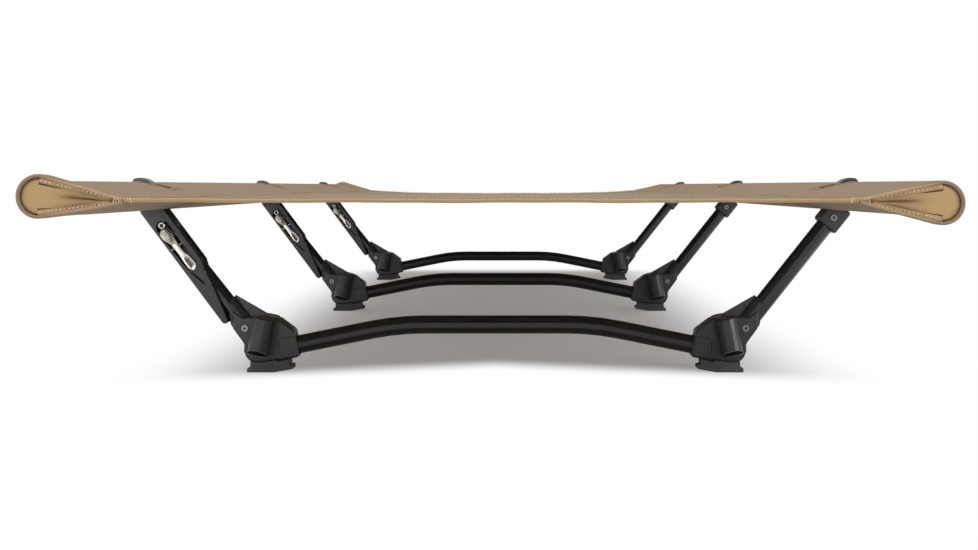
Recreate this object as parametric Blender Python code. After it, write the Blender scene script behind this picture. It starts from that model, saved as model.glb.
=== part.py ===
"""A low camping cot: a fabric sling on two side poles, carried by three leg sets.

Metres, +Z up, +Y along the cot, the floor at Z = 0 and the origin under the middle.
Each leg set has a bent crossbar, a moulded hub and a rubber foot at each end of it,
a plain arm on the right and a tension lever with a sprung latch on the left.
"""

import math

import bmesh
import bpy
from mathutils import Vector

# Whole cot
BED_LENGTH = 1.900
SET_SPACING = BED_LENGTH * 13 / 38
GAP = 0.0003

# Arms: from the hub rivet up to the side pole, leaning outward
RIVET_X = 0.2295
RIVET_Z = 0.0405
ARM_LEAN = math.radians(38.5)
ARM_REACH = 0.157
CLIP_PIN_REACH = ARM_REACH - 0.0275
TUBE_OD = 0.0162
TUBE_WALL = 0.0012
ARM_FOOT = 0.009
ARM_TOP_MARGIN = 0.014
LINK_TOP_REACH = ARM_REACH - 0.0515

# Side poles
POLE_OD = 0.020
POLE_WALL = 0.0012
PLUG_CAP = 0.003
PLUG_SPIGOT = 0.012

# Crossbar
CROSSBAR_OD = 0.017
CROSSBAR_WALL = 0.0014
CROSSBAR_CREST_Z = 0.043
CROSSBAR_SLOPE = math.radians(11.3)
CROSSBAR_KNEE_X = 0.090
CROSSBAR_BEND_RADIUS = 0.250
CROSSBAR_END_X = 0.2045

# Hubs
HUB_HALF_DEPTH = 0.0108
SOCKET_WALL = 0.0022
SOCKET_MOUTH_X = 0.1815
SOCKET_BACK_X = 0.200
SLEEVE_WALL = 0.0021
SLEEVE_REACH = 0.029
SLEEVE_TRIM_X = 0.2435
GUSSET_HALF = 0.002
LEG_SOCKET_OD = 0.0188
LEG_SOCKET_BORE = 0.0150
LEG_SOCKET_DEPTH = 0.029
LEG_SOCKET_LENGTH = 0.0343
LEG_SOCKET_Y = 0.0185
LEG_SOCKET_MOUTH = (0.2167, 0.0170)
RIVET_SHANK = 0.0022
RIVET_HEAD = 0.0032
RIVET_HEAD_HEIGHT = 0.0009
RIVET_EYE = 0.0012

# Feet
FOOT_HALF_DEPTH = 0.0105
FOOT_OUTER_X = 0.2275
FOOT_INNER_X = 0.1860
FOOT_BLOCK_INSET = 0.0030
FOOT_FLANGE = 0.0035
FOOT_FLAT_X = 0.2030
FOOT_TOE_RISE = 0.0030

# Clips on the poles
HOOK_THICKNESS = 0.0048
HOOK_HALF_WIDTH = 0.0087
HOOK_TIP_ANGLE = math.radians(100)
HOOK_LIP_ANGLE = math.radians(300)
COLLAR_HALF = 0.0107
COLLAR_START = ARM_REACH - 0.0385
COLLAR_END = ARM_REACH - 0.0140
BOSS_RADIUS = 0.0070
WEB_INNER = -0.0085
WEB_OUTER = 0.0010

# Levers
LEVER_TILT = math.radians(-1.7)
LEVER_OUTER = 0.0094
LEVER_INNER = -0.0103
LEVER_HALF_DEPTH = 0.0120
LEVER_CHEEK = 0.0030
LEVER_WALL = 0.0016
LEVER_EAR_RADIUS = 0.0162
LEVER_LENGTH = 0.1160
LEVER_TIP_INNER = 0.0034
LEVER_WALL_TOP = -0.0050
LEVER_PIN_RADIUS = 0.0025
LEVER_PIN_SEAT = 0.0014

# Latches
LATCH_PIN_DROP = 0.0323
LATCH_PIN_Y = 0.0112
LATCH_PIN_RADIUS = 0.0010
LATCH_PIN_INNER = -0.0052
LATCH_PIN_OUTER = 0.0080
LATCH_CENTRE = 0.0018
LATCH_THICKNESS = 0.0014
LATCH_RING_RADIUS = 0.0025
LATCH_RING_HOLE = 0.0009
LATCH_BARREL = 0.0021
LATCH_RIBS = 6

# Sling
FABRIC = 0.0012
SLEEVE_RADIUS = 0.0158
PINCH_X = 0.265
BED_Z = 0.1606
HEM_HEIGHT = 0.0036
HEM_WIDTH = 0.018
END_PANEL_RECESS = 0.0025
WINDOW_INNER = 0.0290
WINDOW_INNER_BELOW = 0.0345
WINDOW_OUTER = 0.0090
WINDOW_HALF = 0.0135

POLE_X = RIVET_X + ARM_REACH * math.sin(ARM_LEAN)
POLE_Z = RIVET_Z + ARM_REACH * math.cos(ARM_LEAN)
SETS = (("front", -SET_SPACING), ("middle", 0.0), ("rear", SET_SPACING))

# Colour, roughness and metallic value of each finish
FINISHES = {
    "black_plastic": ((0.022, 0.022, 0.024), 0.55, 0.0),
    "black_anodised": ((0.012, 0.012, 0.013), 0.35, 0.6),
    "rubber": ((0.030, 0.030, 0.032), 0.80, 0.0),
    "steel": ((0.62, 0.58, 0.52), 0.30, 1.0),
    "rivet": ((0.45, 0.45, 0.46), 0.35, 1.0),
    "fabric": ((0.42, 0.30, 0.17), 0.90, 0.0),
}


def clear_scene():
    """Remove every object, so that the model starts from an empty scene."""
    for old in list(bpy.data.objects):
        bpy.data.objects.remove(old, do_unlink=True)


def new_material(name, finish):
    """A Principled material for one node, in one of the finishes."""
    colour, roughness, metallic = FINISHES[finish]
    material = bpy.data.materials.new(name)
    material.use_nodes = True
    shader = material.node_tree.nodes["Principled BSDF"]
    shader.inputs["Base Color"].default_value = (*colour, 1.0)
    shader.inputs["Roughness"].default_value = roughness
    shader.inputs["Metallic"].default_value = metallic
    return material


def object_from(bm, name):
    """A linked object from a bmesh, with its faces turned outward."""
    bmesh.ops.recalc_face_normals(bm, faces=bm.faces[:])
    mesh = bpy.data.meshes.new(name)
    bm.to_mesh(mesh)
    bm.free()
    made = bpy.data.objects.new(name, mesh)
    bpy.context.collection.objects.link(made)
    return made


def prism(name, outline, near, far):
    """An outline of (x, z) points extruded along Y from near to far."""
    bm = bmesh.new()
    front = [bm.verts.new((x, near, z)) for x, z in outline]
    back = [bm.verts.new((x, far, z)) for x, z in outline]
    bm.faces.new(front)
    bm.faces.new(back)
    for i in range(len(outline)):
        j = (i + 1) % len(outline)
        bm.faces.new((front[i], front[j], back[j], back[i]))
    return object_from(bm, name)


def turned(name, profile, sides, start=(0, 0, 0), direction=(0, 0, 1)):
    """A closed (radius, height) profile turned about an axis through start."""
    turn = Vector((0, 0, 1)).rotation_difference(Vector(direction)).to_matrix()
    bm = bmesh.new()
    rings = []
    for radius, height in profile:
        ring = []
        for k in range(sides):
            angle = math.tau * (k + 0.5) / sides
            point = Vector((radius * math.cos(angle), radius * math.sin(angle), height))
            ring.append(bm.verts.new(Vector(start) + turn @ point))
            if radius == 0:
                break
        rings.append(ring)
    for ring, following in zip(rings, rings[1:] + rings[:1]):
        for k in range(sides):
            n = (k + 1) % sides
            corners = [ring[k % len(ring)], ring[n % len(ring)]]
            corners += [following[n % len(following)], following[k % len(following)]]
            corners = list(dict.fromkeys(corners))
            if len(corners) > 2:
                bm.faces.new(corners)
    return object_from(bm, name)


def rod(name, radius, start, end, sides=16):
    """A solid cylinder between two points."""
    reach = Vector(end) - Vector(start)
    profile = [(0, 0), (radius, 0), (radius, reach.length), (0, reach.length)]
    return turned(name, profile, sides, start, reach)


def tube(name, outer, wall, start, end, sides=12):
    """A hollow tube with open ends between two points."""
    reach = Vector(end) - Vector(start)
    inner = outer - wall
    profile = [(outer, 0), (outer, reach.length), (inner, reach.length), (inner, 0)]
    return turned(name, profile, sides, start, reach)


def combine(target, tools, operation):
    """Boolean modifiers that join or cut the target with each tool in turn."""
    for tool in tools:
        tool.hide_render = True
        tool.display_type = "WIRE"
        modifier = target.modifiers.new(operation.lower(), "BOOLEAN")
        modifier.operation = operation
        modifier.solver = "EXACT"
        modifier.object = tool


def soften(target, width, segments=1, angle=35):
    """A bevel on the edges that are sharper than the angle."""
    modifier = target.modifiers.new("edges", "BEVEL")
    modifier.width = width
    modifier.segments = segments
    modifier.limit_method = "ANGLE"
    modifier.angle_limit = math.radians(angle)
    modifier.harden_normals = False


def baked(master):
    """The mesh of a master with its modifiers, after which the masters are removed."""
    depsgraph = bpy.context.evaluated_depsgraph_get()
    mesh = bpy.data.meshes.new_from_object(master.evaluated_get(depsgraph))
    for modifier in master.modifiers:
        if modifier.type == "BOOLEAN":
            bpy.data.objects.remove(modifier.object, do_unlink=True)
    bpy.data.objects.remove(master, do_unlink=True)
    mesh.materials.clear()
    mesh.shade_smooth()
    mesh.set_sharp_from_angle(angle=math.radians(32))
    return mesh


def place(name, mesh, finish, parent=None, location=(0, 0, 0), rotation=(0, 0, 0)):
    """A node that shows the mesh, with its own material in its own slot."""
    node = bpy.data.objects.new(name, mesh)
    bpy.context.collection.objects.link(node)
    node.parent = parent
    node.location = location
    node.rotation_euler = rotation
    if not mesh.materials:
        mesh.materials.append(None)
    node.material_slots[0].link = "OBJECT"
    node.material_slots[0].material = new_material(name, finish)
    return node


def guide(name, parent=None, location=(0, 0, 0), rotation=(0, 0, 0)):
    """An empty that carries the pieces of one sub-assembly."""
    empty = bpy.data.objects.new(name, None)
    bpy.context.collection.objects.link(empty)
    empty.parent = parent
    empty.location = location
    empty.rotation_euler = rotation
    return empty


def arc(centre, radius, first, last, steps):
    """Points on an arc in the XZ plane, from angle first to last."""
    turns = [first + (last - first) * i / steps for i in range(steps + 1)]
    return [(centre[0] + radius * math.cos(t), centre[1] + radius * math.sin(t)) for t in turns]


def on_arm(along, across=0.0):
    """A point of the right arm's own axes as (x, z) in the leg set."""
    x = RIVET_X + along * math.sin(ARM_LEAN) + across * math.cos(ARM_LEAN)
    z = RIVET_Z + along * math.cos(ARM_LEAN) - across * math.sin(ARM_LEAN)
    return x, z


def crossbar_line(x):
    """Height of the sloping end of the crossbar's centre line at x."""
    return CROSSBAR_CREST_Z - (x - CROSSBAR_KNEE_X) * math.tan(CROSSBAR_SLOPE)


def socket_lift():
    """Height of the crossbar socket's top and bottom faces from the crossbar's line."""
    return (CROSSBAR_OD / 2 + SOCKET_WALL) / math.cos(CROSSBAR_SLOPE)


def crossbar_path():
    """Centre line of the crossbar: level middle, an arc at each knee, sloping ends."""
    setback = CROSSBAR_BEND_RADIUS * math.tan(CROSSBAR_SLOPE / 2)
    start = CROSSBAR_KNEE_X - setback
    centre = (start, CROSSBAR_CREST_Z - CROSSBAR_BEND_RADIUS)
    quarter = math.pi / 2
    bend = arc(centre, CROSSBAR_BEND_RADIUS, quarter, quarter - CROSSBAR_SLOPE, 3)
    half = bend + [(CROSSBAR_END_X, crossbar_line(CROSSBAR_END_X))]
    return [(-x, z) for x, z in reversed(half)] + half


def crossbar_mesh():
    """A round tube swept along the crossbar's centre line."""
    sides = 12
    path = crossbar_path()
    radii = (CROSSBAR_OD / 2, CROSSBAR_OD / 2 - CROSSBAR_WALL)
    bm = bmesh.new()
    shells = []
    for radius in radii:
        rings = []
        for i, (x, z) in enumerate(path):
            before = Vector(path[max(i - 1, 0)])
            after = Vector(path[min(i + 1, len(path) - 1)])
            run = (after - before).normalized()
            ring = []
            for k in range(sides):
                angle = math.tau * (k + 0.5) / sides
                up = radius * math.cos(angle)
                point = (x - run.y * up, radius * math.sin(angle), z + run.x * up)
                ring.append(bm.verts.new(point))
            rings.append(ring)
        shells.append(rings)
        for ring, following in zip(rings, rings[1:]):
            for k in range(sides):
                n = (k + 1) % sides
                bm.faces.new((ring[k], ring[n], following[n], following[k]))
    for end in (0, -1):
        outer, inner = shells[0][end], shells[1][end]
        for k in range(sides):
            n = (k + 1) % sides
            bm.faces.new((outer[k], outer[n], inner[n], inner[k]))
    return baked(object_from(bm, "crossbar_master"))


def hub_outline():
    """Front outline of the hub's cheeks, from the crossbar mouth round the sole."""
    offsets = (
        (-0.0474, -0.0264), (-0.0137, -0.0311), (-0.0047, -0.0305), (-0.0012, -0.0264),
        (0.0009, -0.0211), (0.0006, -0.0144), (0.0114, 0.0002), (0.0116, 0.0165),
        (0.0024, 0.0098), (-0.0107, 0.0104), (-0.0244, 0.0098), (-0.0312, 0.0083),
        (-0.0454, -0.0023),
    )
    return [(RIVET_X + dx, RIVET_Z + dz) for dx, dz in offsets]


def hub_mesh():
    """The moulded hub of the right side, the same front and back."""
    plate = prism("hub_master", hub_outline(), -HUB_HALF_DEPTH, HUB_HALF_DEPTH)
    soften(plate, 0.0012)
    half = CROSSBAR_OD / 2 + SOCKET_WALL
    lift = socket_lift()
    lean = half * math.tan(CROSSBAR_SLOPE)
    mouth_z = crossbar_line(SOCKET_MOUTH_X)
    back_z = crossbar_line(SOCKET_BACK_X)
    box = prism("socket_box", [
        (SOCKET_MOUTH_X + lean, mouth_z + lift - lean * math.tan(CROSSBAR_SLOPE)),
        (SOCKET_MOUTH_X - lean, mouth_z - lift + lean * math.tan(CROSSBAR_SLOPE)),
        (SOCKET_BACK_X, back_z - lift),
        (SOCKET_BACK_X, back_z + lift),
    ], -half - 0.0006, half + 0.0006)
    soften(box, 0.0020)
    sleeve_radius = TUBE_OD / 2 + SLEEVE_WALL
    low, high = on_arm(-ARM_FOOT), on_arm(SLEEVE_REACH)
    sleeve = rod("sleeve", sleeve_radius, (low[0], 0, low[1]), (high[0], 0, high[1]), 14)
    trim_x = SLEEVE_TRIM_X
    trim = prism("trim", [
        (trim_x, 0.0), (trim_x + TUBE_OD * 2.5, 0.0), (trim_x + TUBE_OD * 2.5, RIVET_Z * 3),
        (trim_x, RIVET_Z * 3),
    ], -0.03, 0.03)
    combine(sleeve, [trim], "DIFFERENCE")
    nub = on_arm(SLEEVE_REACH + 0.0005, -sleeve_radius - 0.0003)
    gusset = prism("gusset", [
        nub, (RIVET_X - 0.0205, RIVET_Z + 0.0120), (RIVET_X - 0.0245, RIVET_Z + 0.0045),
        (RIVET_X - 0.0045, RIVET_Z + 0.0045), on_arm(SLEEVE_REACH - 0.001, -0.004),
    ], -GUSSET_HALF, GUSSET_HALF)
    axis = Vector((-math.sin(CROSSBAR_SLOPE), 0, math.cos(CROSSBAR_SLOPE)))
    joined = [box, sleeve, gusset]
    cuts = []
    for side in (-1, 1):
        mouth = Vector((LEG_SOCKET_MOUTH[0], side * LEG_SOCKET_Y, LEG_SOCKET_MOUTH[1]))
        outer = LEG_SOCKET_OD / 2
        profile = [
            (0, 0), (outer, 0), (outer, LEG_SOCKET_LENGTH - 0.0012),
            (outer - 0.0012, LEG_SOCKET_LENGTH), (0, LEG_SOCKET_LENGTH),
        ]
        joined.append(turned("leg_socket", profile, 16, mouth, axis))
        start = mouth - axis * 0.004
        end = mouth + axis * LEG_SOCKET_DEPTH
        cuts.append(rod("leg_bore", LEG_SOCKET_BORE / 2, start, end, 14))
    combine(plate, joined, "UNION")
    outside_x = SOCKET_MOUTH_X - 0.02
    inside_x = CROSSBAR_END_X + GAP
    cuts.append(rod(
        "crossbar_bore", CROSSBAR_OD / 2 + GAP,
        (outside_x, 0, crossbar_line(outside_x)), (inside_x, 0, crossbar_line(inside_x)), 12,
    ))
    low, high = on_arm(-ARM_FOOT - GAP), on_arm(0.06)
    cuts.append(rod(
        "arm_bore", TUBE_OD / 2 + GAP, (low[0], 0, low[1]), (high[0], 0, high[1]), 12,
    ))
    cuts.append(rod(
        "rivet_bore", RIVET_SHANK + GAP, (RIVET_X, -0.03, RIVET_Z), (RIVET_X, 0.03, RIVET_Z), 8,
    ))
    combine(plate, cuts, "DIFFERENCE")
    bpy.context.view_layer.update()
    return baked(plate)


def rivet_mesh(half_depth):
    """A hollow rivet along Y, with a rolled head outside each cheek."""
    face = half_depth + GAP
    head = face + RIVET_HEAD_HEIGHT
    profile = [
        (RIVET_EYE, -head), (RIVET_HEAD, -head), (RIVET_HEAD, -face), (RIVET_SHANK, -face),
        (RIVET_SHANK, face), (RIVET_HEAD, face), (RIVET_HEAD, head), (RIVET_EYE, head),
    ]
    return baked(turned("rivet_master", profile, 8, (0, 0, 0), (0, 1, 0)))


def foot_mesh():
    """The rubber foot: a block that follows the hub's sole, on a wider flange."""
    outline = hub_outline()
    (toe_x, toe_z), (low_x, low_z), (heel_x, heel_z) = outline[0], outline[1], outline[2]

    def sole(x):
        """Height of the block's top at x, just under the cheeks and the crossbar socket."""
        first, second = ((toe_x, toe_z), (low_x, low_z)) if x < low_x else ((low_x, low_z), (heel_x, heel_z))
        cheek = first[1] + (second[1] - first[1]) * (x - first[0]) / (second[0] - first[0])
        socket = crossbar_line(x) - socket_lift() if x <= SOCKET_BACK_X + GAP else cheek
        return min(cheek, socket) - GAP

    inner, outer = FOOT_INNER_X + FOOT_BLOCK_INSET, FOOT_OUTER_X - FOOT_BLOCK_INSET
    rise = FOOT_TOE_RISE + FOOT_FLANGE
    foot = prism("foot_master", [
        (FOOT_OUTER_X, 0.0), (FOOT_FLAT_X, 0.0), (FOOT_INNER_X, FOOT_TOE_RISE),
        (FOOT_INNER_X, rise), (inner, rise), (inner, sole(inner)),
        (SOCKET_BACK_X + GAP, sole(SOCKET_BACK_X + GAP)),
        (SOCKET_BACK_X + 2 * GAP, sole(SOCKET_BACK_X + 2 * GAP)), (low_x, sole(low_x)),
        (outer, sole(outer)), (outer, FOOT_FLANGE), (FOOT_OUTER_X, FOOT_FLANGE),
    ], -FOOT_HALF_DEPTH, FOOT_HALF_DEPTH)
    return baked(foot)


def hook(name):
    """The open hook that wraps the pole, in the arm's axes, pole at the arm's reach."""
    centre = (0.0, ARM_REACH)
    inner = POLE_OD / 2 + GAP
    outer = inner + HOOK_THICKNESS
    taper = math.radians(14)
    outside = arc(centre, outer, HOOK_TIP_ANGLE + taper, HOOK_LIP_ANGLE, 11)
    inside = arc(centre, inner, HOOK_LIP_ANGLE, HOOK_TIP_ANGLE, 12)
    tip = arc(centre, inner + HOOK_THICKNESS * 0.6, HOOK_TIP_ANGLE + 0.03, HOOK_TIP_ANGLE + 0.03, 1)
    return prism(name, outside + inside + tip[:1], -HOOK_HALF_WIDTH, HOOK_HALF_WIDTH)


def seat_cutter():
    """A cutter that stops a clip's neck half way through the hook's wall."""
    radius = POLE_OD / 2 + GAP + HOOK_THICKNESS / 2
    return rod("seat_cutter", radius, (0, -0.03, ARM_REACH), (0, 0.03, ARM_REACH), 20)


def clip_right_mesh():
    """The right clip: a square collar on the arm's top and the hook over the pole."""
    half = COLLAR_HALF
    collar = prism("clip_master", [
        (-half, COLLAR_START + 0.0015), (half, COLLAR_START), (half, COLLAR_END), (-half, COLLAR_END),
    ], -half, half)
    soften(collar, 0.0022, 2)
    combine(collar, [seat_cutter()], "DIFFERENCE")
    combine(collar, [hook("clip_hook")], "UNION")
    cuts = [
        rod("arm_bore", TUBE_OD / 2 + GAP, (0, 0, COLLAR_START - 0.01),
            (0, 0, ARM_REACH - ARM_TOP_MARGIN + GAP), 12),
        rod("rivet_bore", RIVET_SHANK + GAP, (0, -0.03, CLIP_PIN_REACH), (0, 0.03, CLIP_PIN_REACH), 8),
    ]
    combine(collar, cuts, "DIFFERENCE")
    return baked(collar)


def clip_left_mesh():
    """The left clip: a boss round the lever's pin, a web and the hook over the pole."""
    pin = (0, CLIP_PIN_REACH)
    boss = rod("clip_master", BOSS_RADIUS, (0, -HOOK_HALF_WIDTH, pin[1]), (0, HOOK_HALF_WIDTH, pin[1]), 18)
    web_top = ARM_REACH - POLE_OD / 2 - HOOK_THICKNESS / 2
    inset = 0.0001
    web = prism("clip_web", [
        (WEB_INNER, web_top), (-BOSS_RADIUS + 0.0006, pin[1] + 0.001), (-0.003, pin[1] - 0.004),
        (WEB_OUTER, pin[1]), (WEB_OUTER, web_top),
    ], -HOOK_HALF_WIDTH + inset, HOOK_HALF_WIDTH - inset)
    combine(web, [seat_cutter()], "DIFFERENCE")
    combine(boss, [web, hook("clip_hook")], "UNION")
    pin_bore = rod("pin_bore", LEVER_PIN_RADIUS + GAP, (0, -0.03, pin[1]), (0, 0.03, pin[1]), 12)
    combine(boss, [pin_bore], "DIFFERENCE")
    return baked(boss)


def arm_mesh(top, holes):
    """An arm tube in the arm's axes, with cross holes for its rivets."""
    arm = tube("arm_master", TUBE_OD / 2, TUBE_WALL, (0, 0, -ARM_FOOT), (0, 0, top))
    cuts = [
        rod("cross_hole", RIVET_SHANK + GAP, (0, -0.02, reach), (0, 0.02, reach), 8)
        for reach in holes
    ]
    combine(arm, cuts, "DIFFERENCE")
    return baked(arm)


def lever_outline():
    """Side outline of the lever about its pin, from the ear round to the blade's tip."""
    ear = LEVER_EAR_RADIUS
    first = math.acos(LEVER_OUTER / ear)
    last = math.acos(LEVER_INNER / ear)
    top = arc((0, 0), ear, first, last, 8)
    blade = [(LEVER_INNER, -0.0550), (-0.0073, -0.0635), (-0.0057, -0.0755)]
    round_radius = (LEVER_OUTER - LEVER_TIP_INNER) / 2
    centre = (LEVER_OUTER - round_radius, -LEVER_LENGTH + round_radius)
    tip = arc(centre, round_radius, math.pi, math.tau, 5)
    return top + blade + tip


def slot_outline():
    """The slot in the lever's front cheek that shows the latch."""
    upper = arc((0.0008, -0.0104), 0.0062, 0.0, math.pi, 6)
    lower = arc((0.0020, -0.0548), 0.0038, math.pi, math.tau, 5)
    return upper + [(-0.0054, -0.0230), (-0.0036, -0.0400)] + lower + [(0.0062, -0.0380), (0.0072, -0.0220)]


def lever_mesh():
    """The lever: a channel open towards the link tube, slotted for the latch."""
    depth = LEVER_HALF_DEPTH
    inside = depth - LEVER_CHEEK
    lever = prism("lever_master", lever_outline(), -depth, depth)
    soften(lever, 0.0012)
    channel_x = LEVER_OUTER - LEVER_WALL
    below = -LEVER_LENGTH - 0.014
    channel = prism("channel", [(-0.03, below), (channel_x, below), (channel_x, 0.03), (-0.03, 0.03)],
                    -inside, inside)
    mouth = prism("wall_cut", [
        (channel_x - 0.002, LEVER_WALL_TOP), (0.03, LEVER_WALL_TOP), (0.03, 0.03), (channel_x - 0.002, 0.03),
    ], -inside, inside)
    slot = prism("slot", slot_outline(), inside - 0.002, depth + 0.004)
    pin_end = inside + LEVER_PIN_SEAT + GAP
    pin_hole = rod("pin_hole", LEVER_PIN_RADIUS + 0.0001, (0, -pin_end, 0), (0, pin_end, 0), 12)
    groove = rod("latch_pin_groove", LATCH_PIN_RADIUS + GAP,
                 (LATCH_PIN_INNER - GAP, LATCH_PIN_Y, -LATCH_PIN_DROP),
                 (LATCH_PIN_OUTER + GAP, LATCH_PIN_Y, -LATCH_PIN_DROP), 10)
    crease = prism("crease", [(0.0032, -0.0585), (0.0008, -0.0585), (0.0022, -0.0760)],
                   depth - 0.0006, depth + 0.004)
    combine(lever, [channel, mouth, slot, pin_hole, groove, crease], "DIFFERENCE")
    return baked(lever)


def latch_mesh():
    """The latch about its own pin: a ribbed thumb pad, a waist and a spoon-shaped tail."""
    pad_top, pad_low = 0.0205, 0.0085
    stations = []
    for step in range(2 * LATCH_RIBS + 1):
        share = step / (2 * LATCH_RIBS)
        swell = math.sin(math.pi * (0.18 + 0.66 * share))
        rib = 0.0004 if step % 2 else 0.0
        stations.append((pad_top - (pad_top - pad_low) * share, 0.0058 * swell, 0.0030 * swell + rib))
    stations += [
        (0.0050, 0.0032, 0.0004), (-0.0030, 0.0028, 0.0), (-0.0150, 0.0032, -0.0004),
        (-0.0200, 0.0036, -0.0002), (-0.0228, 0.0030, 0.0006), (-0.0242, 0.0016, 0.0012),
    ]
    bm = bmesh.new()
    cells = 2
    layers = ([], [])
    for z, half, lift in stations:
        rows = ([], [])
        for k in range(cells + 1):
            share = 2 * k / cells - 1
            crown = (1 - share * share) * (0.0010 if z > pad_low else -0.0005)
            x = LATCH_CENTRE + half * share
            rows[0].append(bm.verts.new((x, lift + crown + LATCH_THICKNESS / 2, z)))
            rows[1].append(bm.verts.new((x, lift + crown - LATCH_THICKNESS / 2, z)))
        for layer, row in zip(layers, rows):
            layer.append(row)
    for layer in layers:
        for row, following in zip(layer, layer[1:]):
            for k in range(cells):
                bm.faces.new((row[k], row[k + 1], following[k + 1], following[k]))
    top, under = layers
    for row, below in zip(range(len(stations)), range(1, len(stations))):
        for k in (0, cells):
            bm.faces.new((top[row][k], top[below][k], under[below][k], under[row][k]))
    for row in (0, -1):
        for k in range(cells):
            bm.faces.new((top[row][k], top[row][k + 1], under[row][k + 1], under[row][k]))
    latch = object_from(bm, "latch_master")
    joined = [rod("barrel", LATCH_BARREL, (LATCH_CENTRE - 0.0027, 0, 0), (LATCH_CENTRE + 0.0027, 0, 0), 12)]
    ring_y = 0.0020
    ring_z = 0.0222
    ring_x = LATCH_CENTRE - 0.0012
    joined.append(rod("ring", LATCH_RING_RADIUS, (ring_x, ring_y - 0.0006, ring_z),
                      (ring_x, ring_y + 0.0007, ring_z), 14))
    combine(latch, joined, "UNION")
    cuts = [
        rod("ring_hole", LATCH_RING_HOLE, (ring_x, -0.01, ring_z), (ring_x, 0.01, ring_z), 10),
        rod("pin_hole", LATCH_PIN_RADIUS + 0.0001, (-0.02, 0, 0), (0.02, 0, 0), 10),
    ]
    combine(latch, cuts, "DIFFERENCE")
    return baked(latch)


def sleeve_loop(side, radius, apex_x, apex_top, apex_low):
    """Teardrop outline of one sleeve, from the upper apex over the pole to the lower."""
    outermost = POLE_X + POLE_OD / 2 + GAP + FABRIC
    centre = (outermost - SLEEVE_RADIUS, POLE_Z)
    points = []
    for apex_z, sign in ((apex_top, 1), (apex_low, -1)):
        reach = Vector((apex_x - centre[0], apex_z - centre[1]))
        swing = math.acos(radius / reach.length)
        points.append(math.atan2(reach.y, reach.x) - sign * swing)
    first = points[0] % math.tau
    last = points[1] % math.tau - math.tau
    round_part = arc(centre, radius, first, last, 13)
    outline = [(apex_x, apex_top)] + round_part + [(apex_x, apex_low)]
    return [(side * x, z) for x, z in outline]


def sling_mesh():
    """The sling: bed panel, a closed sleeve along each side, windows and end hems."""
    half_length = BED_LENGTH / 2
    top, low = BED_Z + FABRIC / 2, BED_Z - FABRIC / 2
    right = sleeve_loop(1, SLEEVE_RADIUS, PINCH_X, top, low)
    left = sleeve_loop(-1, SLEEVE_RADIUS, PINCH_X, top, low)
    outline = right + list(reversed(left))
    short = half_length - GAP
    sling = prism("sling_master", outline, -short, short)
    hems = []
    for end in (-1, 1):
        hem_x = PINCH_X - 0.003
        near, far = sorted((end * half_length, end * (half_length - HEM_WIDTH)))
        hems.append(prism("hem", [
            (-hem_x, BED_Z - HEM_HEIGHT / 2), (hem_x, BED_Z - HEM_HEIGHT / 2),
            (hem_x, BED_Z + HEM_HEIGHT / 2), (-hem_x, BED_Z + HEM_HEIGHT / 2),
        ], near, far))
    combine(sling, hems, "UNION")
    cuts = []
    cavity_end = half_length - END_PANEL_RECESS - FABRIC
    panel_face = half_length - END_PANEL_RECESS
    for side in (-1, 1):
        inside = sleeve_loop(side, SLEEVE_RADIUS - FABRIC, PINCH_X + 0.006, BED_Z + 0.0003, BED_Z - 0.0003)
        cuts.append(prism("cavity", inside, -cavity_end, cavity_end))
        for end in (-1, 1):
            near, far = sorted((end * panel_face, end * (half_length + 0.01)))
            cuts.append(prism("recess", inside, near, far))
        inner, outer = side * (POLE_X - WINDOW_INNER), side * (POLE_X + WINDOW_OUTER)
        below = side * (POLE_X - WINDOW_INNER_BELOW)
        bottom, top_z, step_z = POLE_Z - 0.06, POLE_Z + 0.06, BED_Z + FABRIC
        for _, y in SETS:
            cuts.append(prism("window", [
                (below, bottom), (outer, bottom), (outer, top_z), (inner, top_z), (inner, step_z),
                (below, step_z),
            ], y - WINDOW_HALF, y + WINDOW_HALF))
    combine(sling, cuts, "DIFFERENCE")
    return baked(sling)


def build_poles():
    """Both side poles with a push-in plug at each end."""
    panel_inside = BED_LENGTH / 2 - END_PANEL_RECESS - FABRIC
    plug_face = panel_inside - GAP
    tube_end = plug_face - PLUG_CAP - GAP
    outer = POLE_OD / 2
    pole = baked(tube("pole_master", outer, POLE_WALL, (0, -tube_end, 0), (0, tube_end, 0), 16))
    spigot = outer - POLE_WALL - GAP
    profile = [
        (0, 0), (outer - 0.001, 0), (outer, -0.001), (outer, -PLUG_CAP),
        (spigot, -PLUG_CAP), (spigot, -PLUG_CAP - PLUG_SPIGOT), (0, -PLUG_CAP - PLUG_SPIGOT),
    ]
    plug = baked(turned("plug_master", profile, 12, (0, 0, 0), (0, 1, 0)))
    for name, side in (("left", -1), ("right", 1)):
        axis = guide(f"pole_axis_{name}", location=(side * POLE_X, 0, POLE_Z))
        place(f"pole_{name}", pole, "black_anodised", axis)
        place(f"pole_plug_{name}_rear", plug, "black_plastic", axis, (0, plug_face, 0))
        place(f"pole_plug_{name}_front", plug, "black_plastic", axis, (0, -plug_face, 0), (0, 0, math.pi))


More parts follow.
